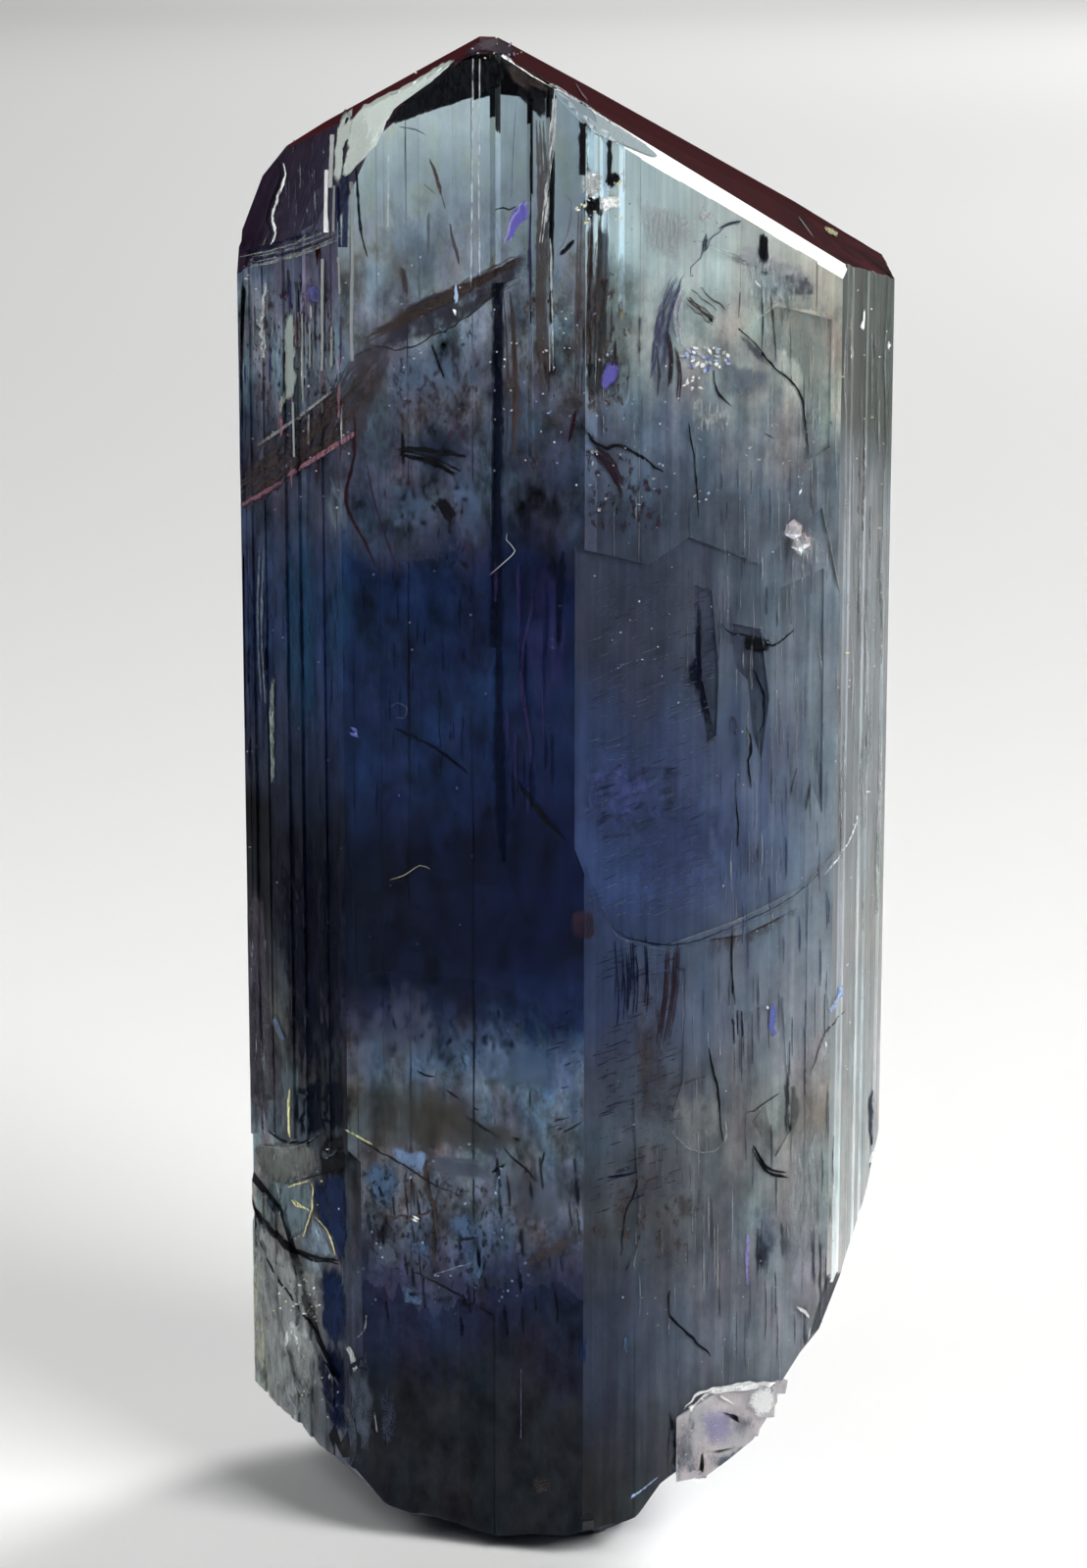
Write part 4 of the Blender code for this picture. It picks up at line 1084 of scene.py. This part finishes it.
    stroke("umber", 3, 0.6, [(758, 1136), (776, 1128), (796, 1112)], jitter=1),
    stroke("umber", 3, 0.5, [(826, 1100), (838, 1060), (862, 1030)], jitter=1),
    stroke("dusk", 8, 0.7, [(888, 1110), (888, 1170)], jitter=1),
    # the notch under the step in the left corner, its dark strokes painted shade in the notch
    stroke("smoke", 3, 0.6, [(284, 160), (287, 180), (277, 208), (273, 226), (278, 237), (270, 252)]),
    stroke("navy", 4, 0.9, [(352, 112), (350, 140), (347, 168)], blunt=True, uneven=0.1),
    stroke("twilight", 11, 0.9, [(353, 172), (352, 252)], blunt=True, uneven=0.1),
    stroke("ink", 5, 0.8, [(346, 190), (347, 252)], blunt=True, uneven=0.1),
]
# each row is a box, a count, tones, width, length, cover and lean
crackFibres = [
    ((590, 300, 640, 440), 12, ["plum", "umber"], 2.4, 40, 0.5),
    ((505, 560, 565, 800), 24, ["ink", "indigo", "night"], 5, 90, 0.6),
    ((690, 430, 845, 640), 44, ["dusk", "slate"], 2, 50, 0.6),
    ((735, 700, 850, 960), 50, ["dusk", "denim", "slate"], 2, 60, 0.6),
    ((690, 980, 850, 1380), 70, ["dusk", "ash", "slate"], 2.2, 70, 0.6),
    ((246, 270, 350, 470), 26, ["plum", "purple", "indigo"], 3.4, 60, 0.7),
    ((250, 540, 350, 900), 30, ["ink", "navy", "night"], 2, 60, 0.6),
    ((286, 1390, 340, 1460), 14, ["ash", "slate"], 2, 26, 0.6, 0.5),
    ((365, 560, 500, 800), 30, ["ink", "night"], 2.4, 40, 0.6),
    ((370, 1170, 590, 1340), 40, ["night", "smoke"], 5, 40, 0.6, 0.1),
    ((616, 960, 700, 1240), 220, ["ink", "twilight"], 1.6, 7, 0.5, -3.0),
    ((572, 1020, 596, 1150), 16, ["ink", "navy"], 2.6, 6, 0.8, -3.4),
    ((612, 590, 735, 930), 420, ["twilight"], 1.3, 8, 0.45, -2.6),
]
for row in crackFibres:
    crackAndShadeMarks += fibresIn(*row)

# Fine dark specks that crowd together in the clouded parts.
speckSettings = {"grain": (0.16, 0.3), "broken": 4.0, "edge": (1.1, 1.7), "uneven": 0.3, "roughness": 0.5,
                 "shine": 0.02}
speckMarks = [
    patch("plum", 0.75, [(372, 356), (440, 346), (500, 306), (500, 470), (440, 470), (380, 440)],
          feather=0.4),
    patch("smoke", 0.8, [(376, 470), (500, 470), (500, 600), (440, 600), (380, 560)], feather=0.5),
    patch("umber", 0.7, [(520, 260), (580, 240), (590, 400), (580, 520), (524, 520)], feather=0.4),
    patch("umber", 0.7, [(582, 250), (620, 240), (650, 290), (650, 420), (630, 470), (584, 440)],
          feather=0.4),
    patch("plum", 0.8, [(580, 430), (690, 470), (700, 560), (640, 580), (584, 560)], feather=0.5),
    patch("plum", 0.8, [(248, 290), (350, 270), (356, 440), (300, 470), (250, 470)], feather=0.3),
    patch("smoke", 0.7, [(360, 1176), (520, 1200), (590, 1260), (500, 1350), (400, 1340), (360, 1290)],
          feather=0.3),
    patch("umber", 0.6, [(600, 1180), (720, 1180), (760, 1260), (700, 1320), (610, 1300)], feather=0.5),
    patch("ink", 0.6, [(360, 1000), (480, 1000), (560, 1040), (560, 1100), (440, 1100), (360, 1090)],
          feather=0.4),
]

# Pale growth lines, frayed edges and scratches that scatter light, and painted highlights along ridges and
# ledges, each said where it stands.
frostAndHighlightSettings = {"grain": (0.07, 0.3), "broken": 2.2, "edge": (0.4, 1.3), "uneven": 0.4, "roughness": 0.5,
                 "shine": 0.1}
frostAndHighlightMarks = [
    stroke("pearl", 3, 0.7, [(483, 60), (482, 180), (481, 292)], blunt=True),
    stroke("pearl", 3, 0.7, [(490, 60), (489, 180), (490, 280)], blunt=True),
    stroke("pearl", 4, 0.35, [(397, 132), (396, 255)]),
    stroke("pearl", 5, 0.8, [(568, 88), (564, 140), (558, 200), (552, 250)], strands=3, spread=3),
    stroke("pearl", 2.5, 0.8, [(562, 240), (564, 380)], strands=2, spread=3),
    stroke("pearl", 2.5, 0.9, [(637, 148), (637, 200)]),
    # painted highlight along the top ridge
    stroke("white", 2, 1.0, [(512, 57), (555, 84), (594, 106)], blunt=True),
    stroke("pearl", 2, 0.6, [(730, 250), (770, 270), (812, 292)]),
    stroke("pearl", 2, 0.6, [(703, 247), (716, 246), (745, 262), (790, 278)]),
    stroke("lavender", 6, 0.45, [(697, 292), (690, 322), (694, 352)], strands=3, spread=4),
    patch("pearl", 0.7, [(692, 224), (706, 222), (705, 232), (692, 232)], feather=0.5, step=5.0),
    patch("pearl", 0.7, [(712, 216), (728, 214), (726, 224), (712, 226)], feather=0.5, step=5.0),
    # bits of the left top
    stroke("pearl", 5, 0.9, [(275, 286), (270, 320), (271, 366)], jitter=2.5, strands=3, spread=2),
    patch("violetBlue", 0.35, [(310, 288), (330, 292), (328, 312), (314, 310)], feather=0.7, step=6.0),
    stroke("white", 3.6, 0.95, [(289, 164), (292, 178), (283, 206), (279, 226), (283, 238), (275, 252)],
           jitter=1.2, strands=2, spread=1),
    stroke("silver", 3, 0.7, [(262, 456), (300, 430), (340, 400)], strands=4, spread=6),
    stroke("silver", 2.4, 0.7, [(250, 268), (300, 256), (346, 238)], strands=6, spread=8),
    stroke("ink", 6, 0.6, [(250, 262), (290, 252), (340, 236)], strands=2, spread=7),
    stroke("sage", 5, 0.9, [(297, 250), (306, 244), (314, 238)], strands=2, spread=2),
    stroke("rose", 3.4, 0.8, [(290, 486), (326, 464), (362, 440)], strands=7, spread=6),
    stroke("rose", 6, 0.5, [(244, 520), (270, 506), (292, 492)], strands=3, spread=3),
    stroke("rose", 4, 0.7, [(312, 296), (322, 306)], strands=3, spread=4),
    # left corner further down
    stroke("sage", 4, 0.6, [(280, 690), (279, 750), (280, 800)], jitter=1, strands=3, spread=2),
    stroke("steel", 4, 0.5, [(268, 560), (266, 640), (270, 720)], strands=2, spread=3),
    # the lemon strokes are painted highlights along edges and ledges
    stroke("lemon", 5, 0.95, [(297, 1108), (296, 1135), (297, 1162)], jitter=0.6),
    stroke("lemon", 3, 0.9, [(292, 1212), (303, 1208), (320, 1203)]),
    stroke("lemon", 3.4, 0.9, [(298, 1220), (306, 1228), (318, 1232)], jitter=1, strands=2, spread=2),
    stroke("lemon", 3, 0.9, [(320, 1204), (320, 1232), (309, 1264)], jitter=0.8),
    stroke("lemon", 2.4, 0.7, [(320, 1238), (336, 1256), (344, 1282)]),
    stroke("lemon", 3, 0.6, [(352, 1152), (366, 1160), (384, 1170)], strands=2, spread=2),
    stroke("silver", 2.4, 0.8, [(264, 1168), (300, 1170), (326, 1158)]),
    stroke("pearl", 5, 0.9, [(354, 1372), (360, 1380), (363, 1400)], jitter=1, strands=3, spread=2),
    stroke("silver", 3, 0.9, [(382, 1438), (386, 1464)]),
    stroke("pearl", 3, 0.9, [(336, 1396), (339, 1412)]),
    stroke("silver", 3, 0.7, [(362, 1366), (372, 1356), (374, 1336)], jitter=1),
    # edges of steps on the right front side
    stroke("mist", 2, 0.4, [(600, 884), (624, 946), (646, 961), (698, 966), (779, 934), (824, 906)]),
    stroke("indigo", 5, 0.5, [(545, 612), (534, 660), (532, 700), (538, 740), (546, 790)], strands=3,
           spread=4),
    # painted glint at the right end of the step's crack
    stroke("white", 2.6, 0.9, [(876, 829), (863, 861), (850, 880), (839, 894)], jitter=0.6),
    stroke("silver", 3, 0.7, [(832, 645), (838, 680), (836, 700)]),
    stroke("silver", 2.4, 0.7, [(684, 1150), (698, 1168), (722, 1175), (738, 1166)], jitter=0.8),
    stroke("pearl", 2.4, 0.8, [(739, 1138), (741, 1156), (738, 1166)]),
    stroke("iceBlue", 3, 0.7, [(640, 1530), (673, 1504)]),
    stroke("lilac", 4, 0.7, [(763, 1256), (762, 1284), (763, 1312)], strands=3, spread=2),
    stroke("silver", 4, 0.5, [(724, 1244), (724, 1320)], strands=4, spread=8),
    stroke("violetGrey", 2, 0.8, [(532, 1393), (532, 1469)]),
    stroke("waterBlue", 4, 0.9, [(636, 1357), (635, 1382)], strands=2, spread=3),
    # painted highlight on the rim at the right end of the roof
    stroke("lemon", 7, 0.6, [(838, 232), (846, 238), (853, 244)], jitter=1.5, strands=2, spread=2),
    stroke("silver", 2, 0.6, [(812, 220), (822, 234), (831, 246)]),
    # painted highlight along the top of the wedge
    stroke("pearl", 2, 0.8, [(562, 86), (600, 110), (658, 149)], blunt=True),
    stroke("rose", 2, 0.7, [(586, 84), (592, 96), (600, 104)], strands=2, spread=2),
    stroke("silver", 1.6, 0.7, [(486, 1286), (440, 1300)], jitter=0.6),
]
# each row is a box, a count, tones, width, length, cover and lean
frostFibres = [
    ((735, 440, 848, 640), 36, ["silver", "steel", "sage"], 2, 60, 0.6),
    ((740, 640, 848, 930), 50, ["steel", "silver"], 2, 60, 0.5),
    ((640, 990, 850, 1380), 60, ["steel", "silver", "lavender"], 2, 60, 0.45),
    ((782, 290, 850, 440), 26, ["pearl", "sage"], 1.8, 60, 0.5),
    ((852, 300, 908, 900), 50, ["silver", "pearl", "pewter"], 2.2, 120, 0.6),
    ((286, 270, 356, 480), 22, ["silver", "pearl", "rose"], 3, 50, 0.8),
    ((256, 1240, 330, 1480), 12, ["pearl", "silver"], 1.6, 26, 0.6, -0.5),
    ((250, 910, 275, 1150), 16, ["silver", "lavender"], 1.6, 40, 0.6),
    ((292, 128, 336, 226), 26, ["greyViolet", "mauve", "violetDusk", "silver"], 2.4, 34, 0.6),
    ((590, 300, 680, 520), 26, ["silver", "steel"], 2, 36, 0.5),
    ((380, 380, 500, 560), 26, ["steel", "waterBlue"], 2.4, 20, 0.5),
]
for row in frostFibres:
    frostAndHighlightMarks += fibresIn(*row)
# pale facets that show from inside the right front side
frostAndHighlightMarks += [
    patch("fog", 0.45, [(650, 190), (700, 205), (720, 240), (690, 280), (655, 270), (640, 220)],
          feather=0.7),
    patch("clear", 0.5, [(750, 250), (800, 262), (830, 300), (800, 330), (760, 310)], feather=0.8),
    patch("fog", 0.45, [(700, 400), (745, 405), (760, 430), (730, 455), (700, 440)], feather=0.8),
    patch("fog", 0.5, [(790, 530), (845, 540), (846, 580), (800, 575)], feather=0.8),
    patch("fog", 0.4, [(795, 1130), (850, 1120), (850, 1290), (806, 1330)], feather=0.8),
]
# fine lines of the worn middle, rising to the right
frostAndHighlightMarks += fibresIn((612, 590, 735, 930), 420, ["violetGrey", "mist"], 1.3, 8, 0.55, lean=-2.6)

# Flakes on the faces, painted as glints and as the lamp's reflection.
paintedGlintSettings = {"grain": (0.05, 0.05), "broken": 1.2, "edge": (0.15, 0.8), "uneven": 0.15, "roughness": 0.3,
                 "shine": 0.5}
paintedGlintMarks = [
    # the pale strip and bars of the left top, painted as the lamp's reflection
    patch("greenWhite", 1.0, [(368, 112), (390, 100), (419, 86), (461, 62), (466, 63), (440, 84), (414, 102),
                              (396, 126), (380, 152), (362, 175), (350, 180), (356, 150), (352, 134)],
          feather=0.1, jitter=1.2, solid=1.8, step=5.0),
    patch("greenWhite", 0.9, [(348, 122), (360, 108), (362, 132), (352, 150), (350, 186), (342, 186),
                              (344, 150)], feather=0.3, jitter=1.2, solid=1.4, step=5.0),
    stroke("pearl", 6, 0.95, [(341, 138), (339, 192)], blunt=True, uneven=0.1, solid=1.5),
    stroke("white", 5, 0.95, [(335, 174), (334, 237)], blunt=True, uneven=0.1, solid=1.5),
    stroke("silver", 3, 0.9, [(343, 190), (342, 236)], blunt=True, uneven=0.1, solid=1.5),
    stroke("silver", 5, 0.8, [(360, 186), (360, 260), (359, 330), (360, 368)], blunt=True, uneven=0.1),
    patch("sage", 0.95, [(293, 330), (301, 316), (302, 360), (302, 404), (293, 410), (286, 420), (292, 380)],
          feather=0.2, jitter=0.8, solid=1.6, step=5.0),
    stroke("sage", 3, 0.9, [(305, 318), (305, 425)], blunt=True, uneven=0.1, solid=1.4),
    stroke("silver", 4.4, 0.9, [(331, 264), (330, 378)], blunt=True, uneven=0.1, solid=1.4),
    stroke("silver", 5, 0.7, [(340, 333), (340, 374)], blunt=True, uneven=0.2),
    stroke("sage", 2.4, 0.8, [(318, 330), (318, 374)], blunt=True, uneven=0.2),
    stroke("silver", 2.4, 0.7, [(310, 320), (311, 410)], blunt=True, uneven=0.2),
    stroke("sage", 3, 0.8, [(301, 410), (302, 466)], blunt=True, uneven=0.2),
    stroke("silver", 3, 0.7, [(346, 262), (347, 300)], blunt=True, uneven=0.2),
    patch("violet", 0.9, [(538, 203), (542, 220), (532, 228), (523, 244), (515, 252), (518, 232), (524, 212)],
          feather=0.5),
    stroke("lilac", 4, 0.8, [(536, 206), (524, 226), (517, 250)], jitter=2, strands=2, spread=3),
    patch("violet", 0.8, [(620, 366), (632, 370), (628, 388), (616, 402), (610, 394)], feather=0.6),
    stroke("lilac", 3, 0.9, [(628, 370), (620, 384), (616, 398)], jitter=1.5),
    stroke("iceBlue", 5, 0.9, [(463, 292), (464, 310)], jitter=1.5, strands=2, spread=3),
    stroke("white", 6, 0.95, [(461, 314), (466, 322)], jitter=1.5),
    patch("pearl", 0.75, [(591, 175), (612, 172), (614, 196), (606, 206), (594, 198)], feather=0.8),
    patch("white", 0.95, [(613, 202), (636, 200), (637, 211), (624, 214), (616, 222), (610, 212)],
          feather=0.7),
    stroke("white", 6, 1.0, [(422, 72), (427, 78)]),
    stroke("lemon", 5, 1.0, [(294, 138), (298, 142)]),
    stroke("violetBlue", 5, 0.6, [(355, 744), (365, 750)], strands=3, spread=4),
    stroke("iceBlue", 2, 0.9, [(363, 745), (365, 751)]),
    stroke("mauve", 2.4, 0.5, [(398, 722), (406, 716), (416, 722), (412, 732), (402, 730)]),
    stroke("violetBlue", 10, 0.8, [(788, 1022), (788, 1056)], jitter=2, strands=2, spread=2),
    stroke("white", 4, 0.9, [(781, 1024), (784, 1030)]),
    stroke("iceBlue", 6, 0.6, [(858, 1004), (852, 1018), (844, 1032)], jitter=1.5, strands=2, spread=2),
    stroke("teal", 5, 0.9, [(281, 1034), (286, 1048), (292, 1062)], strands=2, spread=2),
    stroke("iceBlue", 2.4, 0.8, [(281, 1036), (286, 1048)]),
    stroke("white", 4, 0.95, [(418, 1240), (428, 1245)], strands=2, spread=2),
    stroke("white", 5, 0.9, [(812, 1330), (820, 1336), (826, 1343)], jitter=1, strands=2, spread=2),
    stroke("white", 3, 1.0, [(880, 314), (879, 338)]),
    stroke("white", 3, 1.0, [(907, 346), (907, 358)]),
    stroke("white", 3.5, 1.0, [(841, 1058), (843, 1070)]),
    stroke("white", 4, 0.9, [(725, 1418), (740, 1426), (751, 1433)]),
    patch("window", 1.0, [(564, 90), (584, 102), (606, 116), (606, 134), (586, 118), (568, 100)],
          feather=0.1, jitter=0.4, step=5.0, solid=1.8),
    patch("clear", 1.0, [(600, 114), (630, 131), (662, 152), (670, 162), (638, 150), (602, 132)],
          feather=0.1, jitter=0.4, step=5.0, solid=1.8),
    stroke("white", 5, 0.9, [(700, 1440), (712, 1426), (730, 1418), (760, 1414), (792, 1410)], jitter=1.5,
           strands=3, spread=3),
    patch("white", 0.8, [(762, 1418), (790, 1412), (792, 1432), (776, 1448), (764, 1440)], feather=0.6,
          step=6.0),
    patch("lilac", 0.25, [(710, 1440), (744, 1432), (752, 1466), (722, 1480)], feather=0.9, step=7.0),
    stroke("white", 3, 0.9, [(818, 496), (814, 506)]),
    stroke("white", 3, 0.9, [(768, 282), (778, 294)], strands=2, spread=2),
]
# each row is a box, a count, tones, size and cover
paintedGlintSpecks = [
    ((600, 300, 850, 520), 60, ["pearl", "iceBlue", "fog"], 5, 0.5),
    ((698, 352, 742, 374), 40, ["white", "iceBlue", "pearl", "violetBlue"], 8, 0.9),
    ((698, 382, 714, 396), 9, ["white", "iceBlue"], 6, 0.9),
    ((480, 36, 530, 60), 9, ["white", "lemon"], 3, 0.9),
    ((520, 44, 536, 60), 6, ["lilac"], 5, 0.8),
    ((590, 172, 638, 226), 30, ["white", "lemon", "pearl"], 5, 0.95),
    ((640, 205, 742, 300), 26, ["white", "pearl", "dusk"], 3, 0.8),
    ((380, 260, 500, 420), 22, ["pearl", "iceBlue", "white"], 2.4, 0.7),
    ((500, 300, 700, 480), 70, ["white", "pearl", "lilac"], 3, 0.8),
    ((560, 480, 700, 700), 26, ["pearl", "white"], 2.4, 0.8),
    ((690, 400, 850, 1000), 40, ["white", "pearl"], 2.4, 0.8),
    ((250, 260, 360, 520), 40, ["white", "rose", "pearl"], 2.8, 0.8),
    ((250, 560, 500, 980), 26, ["iceBlue", "lilac"], 2.2, 0.6),
    ((360, 1160, 540, 1340), 46, ["iceBlue", "waterBlue", "steel"], 3.4, 0.8),
    ((286, 1300, 326, 1350), 24, ["white", "lemon", "pearl"], 3.4, 0.9),
    ((262, 1170, 350, 1480), 30, ["white", "lemon", "pearl"], 2.8, 0.9),
    ((600, 1100, 850, 1400), 40, ["pearl", "white", "lavender"], 2.4, 0.7),
    ((852, 290, 908, 1100), 60, ["white", "lemon"], 2.6, 0.8),
    ((690, 1416, 800, 1520), 40, ["white", "pearl"], 3, 0.9),
]
for row in paintedGlintSpecks:
    paintedGlintMarks += specksIn(*row)

# Two cotton fibres that lie on the front.
lintSettings = {"grain": (0.1, 0.1), "broken": 0.0, "edge": (0.0, 0.3), "uneven": 0.1, "roughness": 0.8,
                "shine": 0.2}
lintMarks = [
    stroke("pearl", 1.0, 0.8, [(518, 542), (517, 550), (526, 561), (515, 573), (500, 586)], uneven=0.1),
    stroke("straw", 0.9, 0.7, [(397, 897), (413, 892), (429, 882), (440, 886)], uneven=0.1),
]

# each family with its marks, look, a slot name that nothing uses, and how many mm its films stand off the
# stone
families = [
    ("colour_zones", zoneMarks, zoneSettings, "inclusion", 0.015),
    ("crowded_specks", speckMarks, speckSettings, "inclusion", 0.025),
    ("healed_cracks_and_painted_shade", crackAndShadeMarks, crackAndShadeSettings, "inclusion", 0.035),
    ("pale_growth_lines_and_highlights", frostAndHighlightMarks, frostAndHighlightSettings, "pale_zoisite", 0.045),
    ("painted_glints", paintedGlintMarks, paintedGlintSettings, "inclusion", 0.055),
    ("cotton_lint", lintMarks, lintSettings, "lint", 0.065),
]
for name, marks, look, slot, proud in families:
    makeMarks(name, marks, makeFilm(name.replace("_", " ") + " film", look), proud, markSettings)

# The floor and the light.
studioSettings = {
    "floorSize": 12.0,  # metres
    "floorColor": "#e9e9e8",
    "floorRoughness": 0.8,
    "lamps": [
        # name, place and target in mm, size in mm, watts
        ("frontRight", (150, -120, 160), (45, 20, 0), (112, 112), 0.6),
        ("nearLeft", (-90, -60, 120), (0, 0, 20), (80, 80), 0.06),
        ("backRight", (300, 400, 250), (90, 140, 0), (175, 175), 0.35),
        ("farRight", (1000, 1000, 800), (230, 520, 0), (560, 560), 22.8),
        ("farBack", (0, 2100, 500), (0, 2101, 0), (150, 150), 2.2),
    ],
    # how bright the sky is in front of and behind the stone, and the stretch of its depth that it changes in
    "skyFront": 0.02,
    "skyBack": 0.25,
    "skyDepth": (-0.3, 0.4),
    "skyRise": (0.08, 0.4),  # where the horizon's tone turns to the high sky's
    "skyHorizon": "#4a302c",
    "skyHigh": "#f4f5f6",
}


def makeStudio(settings):
    bpy.ops.mesh.primitive_plane_add(size=settings["floorSize"])
    floor = bpy.context.object
    floor.name = "floor"
    # painted board, pale and matt
    material, tree = newMaterial("painted board")
    board = addNode(tree, "ShaderNodeBsdfPrincipled",
                    {"Base Color": toLinear(settings["floorColor"]), "Roughness": settings["floorRoughness"]})
    addNode(tree, "ShaderNodeOutputMaterial", {"Surface": board.outputs[0]})
    floor.data.materials.append(material)
    for name, place, target, size, watts in settings["lamps"]:
        lamp = bpy.data.lights.new(name, "AREA")
        lamp.shape = "RECTANGLE"
        lamp.size = size[0] * mm
        lamp.size_y = size[1] * mm
        lamp.energy = watts
        holder = bpy.data.objects.new(name, lamp)
        holder.location = Vector(place) * mm
        holder.rotation_euler = (Vector(target) - Vector(place)).to_track_quat("-Z", "Y").to_euler()
        scene.collection.objects.link(holder)
    world = bpy.data.worlds.new("studio")
    world.use_nodes = True
    world.node_tree.nodes.clear()
    tree = world.node_tree
    coords = addNode(tree, "ShaderNodeTexCoord")
    axes = addNode(tree, "ShaderNodeSeparateXYZ", {0: coords.outputs["Generated"]})
    depth = addNode(tree, "ShaderNodeMapRange", {
        "Value": axes.outputs["Y"], "From Min": settings["skyDepth"][0], "From Max": settings["skyDepth"][1],
        "To Min": settings["skyFront"], "To Max": settings["skyBack"]})
    high = addNode(tree, "ShaderNodeMapRange", {
        "Value": axes.outputs["Z"], "From Min": settings["skyRise"][0], "From Max": settings["skyRise"][1]})
    tone = addNode(tree, "ShaderNodeMix", {0: high.outputs[0], 6: toLinear(settings["skyHorizon"]),
                                           7: toLinear(settings["skyHigh"])}, data_type="RGBA")
    sky = addNode(tree, "ShaderNodeBackground", {"Color": tone.outputs[2], "Strength": depth.outputs[0]})
    addNode(tree, "ShaderNodeOutputWorld", {"Surface": sky.outputs[0]})
    scene.world = world


makeStudio(studioSettings)
scene.view_settings.view_transform = "Standard"  # keeps the measured tones as they are
print("studio ready")
